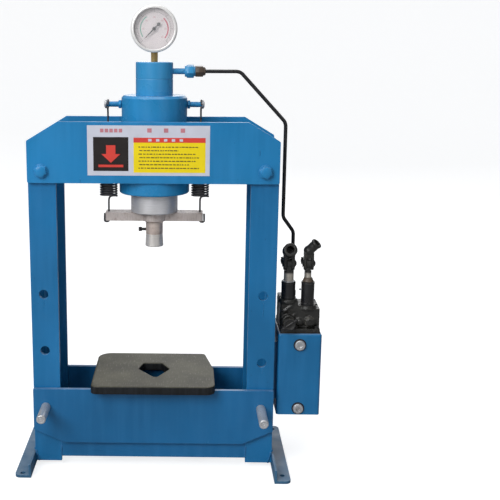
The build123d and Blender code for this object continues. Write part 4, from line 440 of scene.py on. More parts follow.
for finish, names in DRESSED.items():
    for name in names.split():
        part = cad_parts[name]
        part.data.materials.clear()
        part.data.materials.append(finish)
        dressed.add(name)
print("parts without a finish:", sorted(set(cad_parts) - dressed) or "none")

# %% [markdown]
# Every new piece is modelled in millimetres and made to life size at the end, so that its numbers read
# like a drawing's. The helpers below are a small workshop: a lathe, a hexagon bar, a straight bar, a
# winder for coils and threads, and a bench where a shape is finished, named and put on its body.

# %% Workshop helpers
def finish_piece(shape, name, body, finish, sharp=35):
    """Closes a shape's normals, makes it a named piece in metres and puts it on its body."""
    bmesh.ops.remove_doubles(shape, verts=shape.verts[:], dist=0.002)
    bmesh.ops.recalc_face_normals(shape, faces=shape.faces[:])
    bmesh.ops.scale(shape, vec=(MM, MM, MM), verts=shape.verts[:])
    mesh = bpy.data.meshes.new(name)
    shape.to_mesh(mesh)
    shape.free()
    mesh.shade_smooth()
    mesh.set_sharp_from_angle(angle=math.radians(sharp))
    for coat in finish if isinstance(finish, list) else [finish]:
        mesh.materials.append(coat)
    piece = bpy.data.objects.new(name, mesh)
    scene.collection.objects.link(piece)
    if body:
        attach(piece, body)
    return piece


def made_since(shape, before):
    """The vertices that are new since the set before was taken."""
    return [v for v in shape.verts if v not in before]


def set_up(shape, before, at, along=UP):
    """Moves what was made since before from the origin to its place, with its Z turned along an axis."""
    fresh = made_since(shape, before)
    turn = Vector(UP).rotation_difference(Vector(along)).to_matrix().to_4x4()
    bmesh.ops.transform(shape, matrix=Matrix.Translation(at) @ turn, verts=fresh)
    return fresh


def turned(shape, profile, at=(0, 0, 0), along=UP, steps=64, ring=False):
    """Spins a profile of (radius, height) points round its axis, as a lathe does."""
    before = set(shape.verts)
    corners = [shape.verts.new((radius, 0, height)) for radius, height in profile]
    pairs = list(zip(corners, corners[1:]))
    if ring:
        pairs.append((corners[-1], corners[0]))
    lines = [shape.edges.new(pair) for pair in pairs]
    bmesh.ops.spin(
        shape, geom=corners + lines, cent=(
            0, 0, 0,
        ), axis=UP, angle=2 * math.pi, steps=steps, use_merge=True
    )
    return set_up(shape, before, at, along)


def hexagon(shape, across, height, at, along=UP, edge=1.0, twist=0.0):
    """A hexagonal bar with softened ends; across is its size over the flats."""
    before = set(shape.verts)
    radius = across / math.sqrt(3)
    bmesh.ops.create_cone(
        shape, cap_ends=True, segments=6, radius1=radius, radius2=radius, depth=height,
    )
    fresh = made_since(shape, before)
    bmesh.ops.translate(shape, vec=(0, 0, height / 2), verts=fresh)
    bmesh.ops.rotate(
        shape, cent=(0, 0, 0), matrix=Matrix.Rotation(math.radians(twist), 3, "Z"), verts=fresh,
    )
    rims = [
        e
        for e in {e for v in fresh for e in v.link_edges} if abs(e.verts[0].co.z - e.verts[1].co.z) < 0.01
    ]
    bmesh.ops.bevel(shape, geom=rims, offset=edge, segments=2, profile=0.5, affect="EDGES", material=-1)
    return set_up(shape, before, at, along)


def bar(shape, radius, start, end, edge=0.6, sides=32):
    """A straight round bar between two points, with softened ends."""
    run = Vector(end) - Vector(start)
    profile = [
        (0, 0), (radius - edge, 0), (radius, edge), (radius, run.length - edge),
        (radius - edge, run.length),
    ]
    return turned(shape, profile + [(0, run.length)], start, run, sides)


def ball(shape, radius, at, sides, rings):
    """A small ball."""
    place = Matrix.Translation(at)
    bmesh.ops.create_uvsphere(shape, u_segments=sides, v_segments=rings, radius=radius, matrix=place)


def wound(shape, mean, wire, at, along, turns, rise=0.0, sides=8, steps=24, start=0.0):
    """Winds round wire on a mean radius; rise is the total climb along the axis."""
    before = set(shape.verts)
    bmesh.ops.create_circle(shape, cap_ends=True, segments=sides, radius=wire)
    fresh = made_since(shape, before)
    bmesh.ops.rotate(shape, cent=(0, 0, 0), matrix=Matrix.Rotation(math.pi / 2, 3, "X"), verts=fresh)
    bmesh.ops.translate(shape, vec=(mean, 0, 0), verts=fresh)
    bmesh.ops.rotate(
        shape, cent=(0, 0, 0), matrix=Matrix.Rotation(math.radians(start), 3, "Z"), verts=fresh,
    )
    count = max(3, int(steps * turns))
    faces = list({f for v in fresh for f in v.link_faces})
    lines = list({e for v in fresh for e in v.link_edges})
    bmesh.ops.spin(
        shape,
        geom=fresh + lines + faces,
        cent=(0, 0, 0),
        axis=UP,
        dvec=(0, 0, rise / count),
        angle=2 * math.pi * turns,
        steps=count,
    )
    return set_up(shape, before, at, along)


def bent_bar(shape, points, radius, order=3):
    """A bar bent smoothly near the given points, made from a curve with round depth."""
    curve = bpy.data.curves.new("bent", "CURVE")
    curve.dimensions = "3D"
    curve.bevel_depth = radius
    curve.bevel_resolution = 3
    curve.resolution_u = 10
    curve.use_fill_caps = True
    spline = curve.splines.new("NURBS")
    spline.points.add(len(points) - 1)
    for control, point in zip(spline.points, points):
        control.co = (*point, 1)
    spline.order_u = order
    spline.use_endpoint_u = True
    holder = bpy.data.objects.new("bent", curve)
    made = bpy.data.meshes.new_from_object(holder)
    shape.from_mesh(made)
    bpy.data.objects.remove(holder)
    bpy.data.meshes.remove(made)


def slab(shape, low, high, edge=0.0, segments=2):
    """A block between two corners, its edges softened."""
    before = set(shape.verts)
    bmesh.ops.create_cube(shape, size=1.0)
    fresh = made_since(shape, before)
    size = [b - a for a, b in zip(low, high)]
    bmesh.ops.scale(shape, vec=size, verts=fresh)
    bmesh.ops.translate(shape, vec=[(a + b) / 2 for a, b in zip(low, high)], verts=fresh)
    if edge:
        lines = list({e for v in fresh for e in v.link_edges})
        bmesh.ops.bevel(
            shape, geom=lines, offset=edge, segments=segments, profile=0.5, affect="EDGES", material=-1,
        )
    return made_since(shape, before)


print("workshop helpers ready")

# %% [markdown]
# Two extension springs lift the ram when the oil is let go. Each hangs by an eye from a stud on the
# cylinder and hooks round an end of the crossbar. A curve could trace them, but spinning a small circle
# with a climb per step is how wire really goes round a mandrel, and it closes its own ends. The springs
# cross the ram's joint, so they are put on no body.

# %% Return springs
SPRING_X = 98.0
SPRING_MEAN = 17.4
SPRING_WIRE = 2.0
COIL_BOTTOM = 591.0
COIL_TOP = 732.0
COIL_TURNS = 27
STUD_Z = 786.0
EYE_MEAN = 8.6
for side, hand in (("left", -1), ("right", 1)):
    shape = bmesh.new()
    centre = hand * SPRING_X
    wound(
        shape, SPRING_MEAN, SPRING_WIRE, (centre, 0, COIL_BOTTOM), UP, COIL_TURNS,
        COIL_TOP - COIL_BOTTOM,
    )
    bent_bar(
        shape,
        [
            (centre + SPRING_MEAN, -2.0, COIL_BOTTOM),
            (centre + SPRING_MEAN - 1, 8, COIL_BOTTOM - 1),
            (centre + 4, 12, COIL_BOTTOM - 2),
            (centre, 2, COIL_BOTTOM - 5),
            (centre, 0, COIL_BOTTOM - 18),
            (centre, 0, 562),
            (centre, 0, 541),
            (centre, 0, 535.5),
            (centre + hand * 5, 0, 534.5),
            (centre + hand * 9.4, 0, 535.5),
            (centre + hand * 9.4, 0, 541),
            (centre + hand * 9.0, 0, 553),
        ],
        SPRING_WIRE,
    )
    bent_bar(
        shape,
        [
            (centre + SPRING_MEAN, 2.0, COIL_TOP),
            (centre + SPRING_MEAN - 1, -8, COIL_TOP + 1),
            (centre + 4, -12, COIL_TOP + 3),
            (centre, -3, COIL_TOP + 8),
            (centre, 0, COIL_TOP + 20),
            (centre, 0, STUD_Z - 18),
            (centre, -2.0, STUD_Z - EYE_MEAN - 3),
            (centre, -EYE_MEAN, STUD_Z - 6),
        ],
        SPRING_WIRE,
    )
    wound(shape, EYE_MEAN, SPRING_WIRE, (centre, 0, STUD_Z), RIGHT, 0.93, 1.0, steps=40, start=-60.0)
    spring = finish_piece(shape, f"{side}_wound_spring", None, spring_lacquer, 60)
    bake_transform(spring)
    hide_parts(f"{side}_return_spring")
    print(spring.name, "has", len(spring.data.polygons), "faces")

# %% [markdown]
# The studs that the springs hang from are ordinary threaded rod with a lock nut against the cylinder and
# a broad head outside the eye. The thread is wound as a thin ridge on the core, which is quicker than
# cutting one and looks the same at this size. Overspray has coloured the rod but not the head.

# %% Spring studs
shape = bmesh.new()
heads = bmesh.new()
for hand in (-1, 1):
    out = (hand, 0, 0)
    bar(shape, 5.6, (hand * 60, 0, STUD_Z), (hand * 104, 0, STUD_Z))
    wound(shape, 5.6, 0.42, (hand * 70, 0, STUD_Z), out, 14, 21, sides=5, steps=20)
    hexagon(shape, 17, 6, (hand * 69.2, 0, STUD_Z), out)
    turned(
        heads,
        [
            (0, 0), (8.2, 0), (8.9, 0.7), (8.9, 3.0), (8.2, 3.7), (6.2, 3.9), (6.0, 5.0), (3.2, 5.3),
            (2.6, 4.6), (0, 4.4),
        ],
        (hand * 100.2, 0, STUD_Z),
        out,
        48,
    )
studs = finish_piece(shape, "stud_rods", "frame", cylinder_enamel, 40)
heads = finish_piece(heads, "stud_heads", "frame", zinc, 40)
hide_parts("spring_anchors")
print("studs stand", round(105.5 - 69, 1), "mm out of the cylinder")

# %% [markdown]
# Two through bolts hold the head plates on each upright, painted over with the rest. From the front they
# are hexagon heads with a domed top, and from behind, nuts with a thread showing. Each sits on a washer.

# %% Head bolts and nuts
BOLT_X = 231.0
BOLT_Z = 654.0
PLATE_FACE = 80.0
shape = bmesh.new()
washer = [(8, 0), (14.6, 0), (15.2, 0.6), (15.2, 1.9), (14.8, 2.4), (8, 2.4)]
for x in (-BOLT_X, BOLT_X):
    turned(shape, washer, (x, -PLATE_FACE, BOLT_Z), FRONT, 48, True)
    hexagon(shape, 23.6, 7.5, (x, -PLATE_FACE - 1.6, BOLT_Z), FRONT, 1.2, 12)
    turned(
        shape, [(0, 0), (11.2, 0), (10.6, 1.0), (8.2, 1.9), (4.2, 2.4), (0, 2.5)],
        (x, -PLATE_FACE - 8.6, BOLT_Z), FRONT, 48,
    )
    turned(shape, washer, (x, PLATE_FACE, BOLT_Z), BACK, 48, True)
    hexagon(shape, 23.6, 12, (x, PLATE_FACE + 1.6, BOLT_Z), BACK, 1.2, 20)
    bar(shape, 7.3, (x, PLATE_FACE - 5, BOLT_Z), (x, PLATE_FACE + 16, BOLT_Z), 1.2)
    wound(shape, 7.3, 0.5, (x, PLATE_FACE + 12.5, BOLT_Z), BACK, 1.6, 3.2, sides=5)
bolts = finish_piece(shape, "head_bolt_sets", "frame", head_enamel_painted_lit, 35)
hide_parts("head_bolts", "head_nuts")
print("four bolt ends, two in front and two behind")

# %% [markdown]
# The frame is welded. A weld bead is a row of small overlapping puddles, each frozen a moment after the
# one before. Squashed spheres set a little unevenly along the seam give just that, and with few faces
# each the whole row stays light.

# %% Weld beads
def weld(shape, start, end, size=3.0, sink=(0, 0, 0)):
    """Lays a row of overlapping puddles from start to end; sink moves the row into the corner."""
    start, end, sink = Vector(start), Vector(end), Vector(sink)
    count = max(2, int((end - start).length / (size * 0.55)))
    along = (end - start).normalized()
    for step in range(count + 1):
        radius = size * scatter.uniform(0.90, 1.08)
        wobble = Vector([scatter.uniform(-0.25, 0.25) for _ in range(3)])
        place = start + (end - start) * step / count + wobble + sink
        squash = Matrix.Identity(4)
        for axis in range(3):
            squash[axis][axis] = 1.0 - 0.35 * abs(along[axis])
        puddle = Matrix.Translation(place) @ squash
        bmesh.ops.create_icosphere(shape, subdivisions=2, radius=radius, matrix=puddle)


INNER_EDGE = 202.0
FOOT_SEAM_X = 260.5
FOOT_SEAM_Z = 36.5
SPACER_X = 114.5
SEAM_Y = 69.0
shape = bmesh.new()
for hand in (-1, 1):
    for facing in (-1, 1):
        weld(
            shape, (hand * INNER_EDGE, facing * SEAM_Y, 24), (hand * INNER_EDGE, facing * SEAM_Y, 45),
            2.6,
        )
        weld(shape, (hand * 252, facing * 69.5, 11), (hand * 258, facing * 69.5, 33), 2.6)
    weld(shape, (hand * FOOT_SEAM_X, -66, FOOT_SEAM_Z), (hand * FOOT_SEAM_X, 66, FOOT_SEAM_Z), 2.8)
for hand in (-1, 1):
    for facing in (-1, 1):
        corner = (hand * SPACER_X, facing * 69.5)
        weld(shape, (*corner, 78), (*corner, 152), 2.8)
welds = finish_piece(shape, "frame_welds", "frame", bed_enamel_painted_shade, 60)
print("frame welds:", len(welds.data.polygons), "faces")

shape = bmesh.new()
for facing in (-1, 1):
    weld(shape, (269.5, facing * 44, 152), (269.5, facing * 44, 278), 2.6)
for x in (272, 358):
    weld(shape, (x, -61, 121.5), (x, 61, 121.5), 1.8)
tank_welds = finish_piece(shape, "tank_welds", "frame", upright_enamel_painted_half_shade, 60)
print("tank welds:", len(tank_welds.data.polygons), "faces")

# %% [markdown]
# The loose plate under the work was cut by hand with a torch, so its sides are ridged and its corners
# soft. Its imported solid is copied, merged and melted into an even skin, and then the skin's sides are
# pushed in and out by noise that is stretched upright. That gives real ridges, which catch light.

# %% Melt and roughen helpers
def packed_copy(names):
    """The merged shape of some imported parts, in millimetres."""
    shape = bmesh.new()
    for name in names:
        shape.from_mesh(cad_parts[name].data)
    bmesh.ops.remove_doubles(shape, verts=shape.verts[:], dist=0.00001)
    bmesh.ops.scale(shape, vec=(1 / MM, 1 / MM, 1 / MM), verts=shape.verts[:])
    return shape


def melted(shape, voxel, rounds, lump=0.0, lump_size=6.0):
    """Melts crossing solids into one skin, smooths it for some rounds, and may leave it lumpy."""
    mesh = bpy.data.meshes.new("pattern")
    shape.to_mesh(mesh)
    shape.free()
    pattern = bpy.data.objects.new("pattern", mesh)
    scene.collection.objects.link(pattern)
    melt = pattern.modifiers.new("melt", "REMESH")
    melt.mode = "VOXEL"
    melt.voxel_size = voxel
    soften = pattern.modifiers.new("soften", "SMOOTH")
    soften.factor = 0.5
    soften.iterations = rounds
    if lump:
        grit = bpy.data.textures.new("grit", "CLOUDS")
        grit.noise_scale = lump_size
        push = pattern.modifiers.new("push", "DISPLACE")
        push.texture = grit
        push.strength = lump
        push.mid_level = 0.5
    cooled = bpy.data.meshes.new_from_object(
        pattern.evaluated_get(bpy.context.evaluated_depsgraph_get())
    )
    bpy.data.objects.remove(pattern)
    shape = bmesh.new()
    shape.from_mesh(cooled)
    bpy.data.meshes.remove(cooled)
    return shape


print("melting helpers ready")

# %% Press plate
DRAG = 0.45
BED_TOP = 180.0
shape = melted(packed_copy(["press_plate"]), 1.6, 2)
for corner in shape.verts:
    sideways = Vector((corner.normal.x, corner.normal.y, 0))
    if sideways.length > 0.5:
        spot = Vector((corner.co.x * 0.42, corner.co.y * 0.42, corner.co.z * 0.03))
        corner.co += sideways * (DRAG * (field.noise(spot) - 0.35))
    corner.co.z = max(corner.co.z, BED_TOP + 0.05)
plate = finish_piece(shape, "torch_cut_plate", "press_plate", flame_cut, 60)
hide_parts("press_plate")
print("press plate has", len(plate.data.polygons), "faces")

# %% [markdown]
# The pins that carry the bed are pieces of bright bar, sawn and roughly chamfered. The ends show the
# turning rings of the facing tool, and the chamfer is bruised by hammering.

# %% Support pins
PIN_X = 233.0
PIN_Z = 139.0
for side, hand, front, back in (("left", -1, -153.0, 102.0), ("right", 1, -167.0, 88.0)):
    shape = bmesh.new()
    face = [
        (0, 0.5), (1.2, 0.5), (1.6, 0.1), (3.6, 0.1), (3.9, 0.35), (6.4, 0.2), (6.7, 0.0), (7.6, 0.0),
    ]
    rim = [(8.3, 0.3), (9.3, 1.1), (9.85, 2.0), (10.0, 2.9)]
    length = back - front
    tail = [(radius, length - height) for radius, height in reversed(face + rim)]
    turned(shape, face + rim + tail, (hand * PIN_X, front, PIN_Z), BACK, 64)
    for corner in shape.verts:
        if corner.co.y < front + 2.5 or corner.co.y > back - 2.5:
            corner.co += 0.18 * field.noise_vector(corner.co * 0.35)
    pin = finish_piece(shape, f"{side}_bright_pin", f"pin_{side}", pin_steel, 35)
    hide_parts(f"{side}_support_pin")
    print(pin.name, "is", length, "mm long")

# %% [markdown]
# A small screw with a round, socketed head locks the tip in the nose. Its thread shows between head and
# nose, so it is wound here too. The screw turns by itself, and rides on its own body.

# %% Set screw
SCREW_Z = 518.5
shape = bmesh.new()
turned(
    shape,
    [
        (0, 3.2), (2.1, 3.2), (2.3, 0.1), (3.7, 0), (4.4, 0.7), (4.5, 6.4), (4.1, 7.0), (2.9, 7.0),
        (2.9, 23.6), (0, 23.6),
    ],
    (-34.0, 0, SCREW_Z),
    RIGHT,
    36,
)
wound(shape, 2.62, 0.36, (-27, 0, SCREW_Z), RIGHT, 8, 8.8, sides=5, steps=18)
for step in range(18):
    turn = Matrix.Rotation(step * math.pi / 9, 3, "X")
    rib = turn @ Vector((0, 0, 4.4))
    slab(
        shape, (-32.8, rib.y - 0.22, SCREW_Z + rib.z - 0.22),
        (-27.8, rib.y + 0.22, SCREW_Z + rib.z + 0.22),
    )
screw = finish_piece(shape, "tip_screw", "set_screw", black_lacquer, 40)
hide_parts("set_screw")
print("set screw has 18 ribs round its head")

# %% [markdown]
# Oil leaves the cylinder through a nipple, an adapter and a union nut, and then runs in one bent steel
# pipe. The fittings are hexagons turned down at their ends, and the pipe is a smooth curve whose corner
# points sit where the bender's former stood. A short ferrule shows at each nut.

# %% Pipe fittings and pipe
PORT_Z = 854.5
shape = bmesh.new()
bar(shape, 6.1, (36, 0, PORT_Z), (66, 0, PORT_Z), 0.5)
wound(shape, 6.1, 0.45, (41, 0, PORT_Z), RIGHT, 12, 21, sides=5, steps=20)
hexagon(shape, 24.4, 15.5, (67.2, 0, PORT_Z), RIGHT, 1.6, 15)
turned(shape, [(0, 0), (10.4, 0), (11.4, 1.2), (11.4, 4.6), (0, 4.6)], (63.4, 0, PORT_Z), RIGHT, 40)
turned(shape, [(0, 0), (10.2, 0), (10.2, 3.4), (0, 3.4)], (81.9, 0, PORT_Z), RIGHT, 40)
adapter = finish_piece(shape, "port_adapter", "frame", neck_enamel, 40)
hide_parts("pipe_nipple", "pipe_adapter")

shape = bmesh.new()
hexagon(shape, 20.8, 16.5, (85.4, 0, PORT_Z), RIGHT, 1.4, 8)
turned(
    shape, [(0, 0), (8.8, 0), (8.6, 3.2), (7.2, 5.0), (5.2, 5.4), (0, 5.4)], (101.6, 0, PORT_Z), RIGHT,
    40,
)
hexagon(shape, 16.8, 12.5, (302, 16, 369.2), UP, 1.2, 10)
turned(shape, [(0, 0), (7.2, 0), (7.0, 2.0), (5.4, 3.8), (0, 3.8)], (302, 16, 381.4), UP, 40)
nuts = finish_piece(shape, "union_nuts", "frame", nut_steel, 40)
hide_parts("pipe_nuts")

PIPE_POINTS = [
    (99, 0, 854.5), (140, 0, 854.5), (160, 0, 854.5), (179, 0, 854.5), (190.5, 0, 842),
    (206, 0, 825.4), (250, 0, 777.9), (266, 0, 760.6), (277, 0, 748.7), (277, 0, 730),
    (277, 0, 705), (277, 0, 600), (277, 0, 562), (277, 0, 547), (283.5, 4, 537.8),
    (295.5, 12, 521.2), (302, 16, 512), (302, 16, 497), (302, 16, 460), (302, 16, 377),
]
shape = bmesh.new()
bent_bar(shape, PIPE_POINTS, 4.0)
pipe = finish_piece(shape, "bent_oil_pipe", "frame", black_lacquer, 60)
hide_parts("oil_pipe")
print("pipe follows", len(PIPE_POINTS), "points and has", len(pipe.data.polygons), "faces")

# %% [markdown]
# The gauge is what the eye goes to. Its stainless ring is rolled over the case, the dial is printed with
# a scale from a thin arc, long and short marks and plain numbers, a green safe band and a red limit, and
# the pointer is a slim blade with a round balance. The marks are thin prints, laid a hair above the dial,
# because a texture would need an image.

# %% Gauge dial print
GAUGE_Z = 940.5
DIAL_Y = -10.0
PRINT = 0.06


def dial_spot(radius, degrees):
    """A point on the dial; 0 degrees is at the right and angles grow anticlockwise."""
    return Vector(
        (
            radius * math.cos(math.radians(degrees)), DIAL_Y,
            GAUGE_Z + radius * math.sin(math.radians(degrees)),
        )
    )


def dial_arc(shape, inner, outer, start, end):
    """A flat printed band, spun from one radial line."""
    ends = [shape.verts.new(dial_spot(r, start) - Vector((0, PRINT, 0))) for r in (inner, outer)]
    line = shape.edges.new(ends)
    bmesh.ops.spin(
        shape,
        geom=ends + [line],
        cent=(0, 0, GAUGE_Z),
        axis=BACK,
        angle=math.radians(start - end),
        steps=max(6, int(abs(start - end) / 4)),
    )


def dial_mark(shape, inner, outer, degrees, width):
    """A short printed line that points at the dial's centre."""
    out = (dial_spot(1, degrees) - dial_spot(0, degrees)).normalized()
    aside = Vector((-out.z, 0, out.x)) * width / 2
    lift = Vector((0, PRINT, 0))
    low, high = dial_spot(inner, degrees) - lift, dial_spot(outer, degrees) - lift
    shape.faces.new(
        [shape.verts.new(p)
        for p in (low - aside, high - aside, high + aside, low + aside)]
    )


def face_front(piece):
    """Turns flat print over where it faces the dial."""
    for polygon in piece.data.polygons:
        if polygon.normal.y > 0:
            polygon.flip()


SCALE_START = 225.0
SCALE_SWEEP = 270.0
MAJOR_MARKS = 6
SCALE_R = 34.0
NUMBER_R = 23.0
NUMBER_SIZE = 5.2
shape = bmesh.new()
dial_arc(shape, SCALE_R - 0.4, SCALE_R, SCALE_START, SCALE_START - SCALE_SWEEP)
for step in range(MAJOR_MARKS * 10 + 1):
    angle = SCALE_START - SCALE_SWEEP * step / (MAJOR_MARKS * 10)
    reach = 38.6 if step % 10 == 0 else 37.2 if step % 5 == 0 else 35.8
    dial_mark(shape, SCALE_R, reach, angle, 0.7 if step % 10 == 0 else 0.35)
marks = finish_piece(shape, "dial_marks", "frame", dial_black)

shape = bmesh.new()
dial_arc(shape, 27.4, 29.4, 214, 122)
green = finish_piece(shape, "dial_green_band", "frame", dial_green)
shape = bmesh.new()
dial_arc(shape, 27.2, 29.8, 48, -40)
red = finish_piece(shape, "dial_red_band", "frame", dial_red)
for piece in (marks, green, red):
    face_front(piece)
print("dial has", MAJOR_MARKS * 10 + 1, "marks and two bands")

# %% Gauge numbers
shape = bmesh.new()
for step in range(MAJOR_MARKS + 1):
    words = bpy.data.curves.new("number", "FONT")
    words.body = str(step * 10)
    words.size = NUMBER_SIZE
    words.align_x = "CENTER"
    words.align_y = "CENTER"
    holder = bpy.data.objects.new("number", words)
    flat = bpy.data.meshes.new_from_object(holder)
    bpy.data.objects.remove(holder)
    before = set(shape.verts)
    shape.from_mesh(flat)
    bpy.data.meshes.remove(flat)
    fresh = made_since(shape, before)
    spot = dial_spot(NUMBER_R, SCALE_START - SCALE_SWEEP * step / MAJOR_MARKS) - Vector((0, PRINT, 0))
    bmesh.ops.transform(
        shape, matrix=Matrix.Translation(spot) @ Matrix.Rotation(math.pi / 2, 4, "X"), verts=fresh,
    )
numbers = finish_piece(shape, "dial_numbers", "frame", header_ink)
face_front(numbers)
print("dial is numbered 0 to", MAJOR_MARKS * 10)

# %% Gauge pointer and ring
NEEDLE_Y = -15.0
shape = bmesh.new()
way = Vector((math.cos(math.radians(SCALE_START)), 0, math.sin(math.radians(SCALE_START))))
across = Vector((-way.z, 0, way.x))
hub = Vector((0, NEEDLE_Y, GAUGE_Z))
half = [(-14, 1.1), (0, 1.7), (16, 1.1), (29, 0.25)]
outline = half[1:] + [(reach, -side) for reach, side in reversed(half)] + half[:1]
blade = [hub + way * reach + across * side for reach, side in outline]
back = shape.faces.new([shape.verts.new(p) for p in blade])
lifted = bmesh.ops.extrude_face_region(shape, geom=[back])
bmesh.ops.translate(
    shape, vec=(0, -0.7, 0), verts=[g for g in lifted["geom"] if isinstance(g, bmesh.types.BMVert)],
)
turned(
    shape, [(0, 0), (4.0, 0), (4.0, 0.9), (3.4, 1.5), (2.2, 1.9), (1.8, 2.6), (0, 2.8)], hub, FRONT, 36,
)
turned(shape, [(0, 0), (3.6, 0), (3.6, 0.7), (3.3, 0.9), (0, 0.9)], hub - way * 13, FRONT, 32)
turned(shape, [(0, -9.5), (1.8, -9.5), (1.8, 0.2), (0, 0.2)], hub, FRONT, 24)
pointer = finish_piece(shape, "gauge_pointer", "needle", needle_black, 40)
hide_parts("gauge_needle")

shape = bmesh.new()
ring = [
    (41.6, 22.2), (42.0, 22.5), (44.2, 22.5), (46.2, 22.0), (47.4, 20.9), (47.95, 19.3), (47.95, 12.8),
    (47.5, 12.2), (47.5, 10.6), (
        47.95, 10.0,
    ), (47.95, 9.2), (47.5, 8.6), (44.6, 8.5), (44.6, 20.0), (41.6, 20.1),
]
turned(shape, ring, (0, 0, GAUGE_Z), FRONT, 128, True)
rim = finish_piece(shape, "rolled_ring", "frame", stainless, 40)
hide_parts("gauge_bezel")
print("pointer rests at 225 degrees inside a rolled ring")

# %% [markdown]
# A printed sheet is stuck on the head. The real one carries the maker's words, so this one is a plain
# stand-in: the same panels and colours, with blank bars where lines of print would be and a pressing
# arrow instead of a figure. Each colour is a thin layer of its own, as in screen printing.

# %% Head label
LABEL_Y = -80.0
LABEL = (-134.7, 115.8, 645.6, 748.2)
SHEET_T = 0.25
INK_T = 0.08
PRINT_ROWS = 7
ROW_PITCH = 7.2
layers = 0


def panel(name, boxes, ink):
    """Prints some boxes of (left, right, bottom, top) as one more thin layer on the label."""
    global layers
    layers += 1
    shape = bmesh.new()
    for left, right, bottom, top in boxes:
        slab(
            shape, (left, LABEL_Y - SHEET_T - INK_T * layers, bottom), (right, LABEL_Y + 0.01, top),
            0.03, 1,
        )
    return finish_piece(shape, name, "frame", ink, 30)


panel("label_sheet", [LABEL], label_grey)
panel("label_square", [(-122.5, -50.5, 655.0, 724.5)], label_black)
panel("label_notice", [(-40.0, 107.0, 652.0, 713.5)], label_yellow)
panel("label_band", [(-40.0, 107.0, 713.5, 723.5)], label_red)
rows = []
for row in range(PRINT_ROWS):
    height = 704.5 - row * ROW_PITCH
    mark = -30.0 + 2.0 * (row % 2)
    stop = 94.0 - scatter.uniform(0, 44) * (row % 3 > 0)
    while mark < stop:
        width = scatter.uniform(2.4, 7.5)
        rows.append((mark, min(stop, mark + width), height - 1.1, height + 1.1))
        mark += width + scatter.uniform(1.0, 2.4)
panel("label_lines", rows, label_ink)
heading = [(-108 + 9.5 * n, -101 + 9.5 * n, 734.0, 741.5) for n in range(5)]
heading += [(-12 + 34 * n, -3 + 34 * n, 734.0, 742.5) for n in range(3)]
panel("label_heading", heading, header_ink)
panel("label_band_marks", [(-10 + 16 * n, -3 + 16 * n, 716.0, 721.0) for n in range(5)], label_grey)

shape = bmesh.new()
arrow = [(-96, 708), (-77, 708), (-77, 690), (-67, 690), (-86.5, 672), (-106, 690), (-96, 690)]
depth = LABEL_Y - SHEET_T - INK_T * (layers + 1)
face = shape.faces.new([shape.verts.new((x, depth, z)) for x, z in arrow])
slab(shape, (-112, depth, 663), (-61, depth + 0.2, 668))
finish_piece(shape, "label_arrow", "frame", label_red)
print("label has", layers + 1, "layers")

# %% [markdown]
# The pump's block, levers and posts are sand castings. Castings have no sharp corners: every joint has a
# fillet, the skin is pimpled, and pads stand where something is screwed in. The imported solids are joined
# with such pads, melted into one skin, smoothed, and pushed about a little by soft noise.

# %% Pump block
BLOCK_FRONT = -42.0
BLOCK_TOP = 354.0
PAD_TOP = 369.0
LOW_X = 290.0
HIGH_X = 332.0
PUMP_Y = -28.0
VALVE_Z = 326.0
VALVE_X = 291.0
CHECK_CAP_X = 315.0
RELIEF_CAP_X = 337.0
BARREL_TOP = 412.0
shape = packed_copy(["pump_block"])
turned(
    shape, [(15.3, -3), (21, -3), (20.4, 2.4), (17.4, 5.6), (15.3, 6.2)], (LOW_X, PUMP_Y, PAD_TOP),
    steps=48, ring=True,
)
turned(
    shape, [(14.3, -3), (20, -3), (19.4, 2.6), (16.6, 6.4), (14.3, 7.0)], (HIGH_X, PUMP_Y, BLOCK_TOP),
    steps=48, ring=True,
)
turned(
    shape, [(5.6, -4), (16, -4), (15.2, 4.0), (12.6, 6.4), (5.6, 6.4)], (VALVE_X, BLOCK_FRONT, VALVE_Z),
    FRONT, 48, True,
)
turned(
    shape, [(5.2, -4), (13.4, -4), (12.6, 1.6), (5.2, 1.8)], (RELIEF_CAP_X, BLOCK_FRONT, VALVE_Z),
    FRONT, 48, True,
)
turned(
    shape, [(5.2, -4), (9.6, -4), (8.8, 1.8), (5.2, 2.0)], (CHECK_CAP_X, BLOCK_FRONT, VALVE_Z), FRONT,
    40, True,
)
for start, end in (
    ((300, -40, 336), (318, -36, 356)), ((330, -40, 338), (319, -34, 353)),
    ((278, -40, 346), (300, -40, 362)),
):
    bar(shape, 4.6, start, end, 1.5, 20)
turned(shape, [(0, -4), (7.0, -4), (6.4, 4.0), (5.0, 5.4), (0, 5.6)], (312, -36, BLOCK_TOP), steps=32)
for x, y in ((280, 0), (351, 30), (351, -6)):
    turned(
        shape, [(0, -3), (6.5, -3), (5.8, 2.2), (0, 2.6)], (x, y, BLOCK_TOP + (15 if x < 311 else 0)),
        steps=28,
    )
shape = melted(shape, 1.3, 2, 1.1, 9.0)
block = finish_piece(shape, "cast_pump_block", "frame", pump_iron, 70)
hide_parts("pump_block")
print("pump casting has", len(block.data.polygons), "faces")

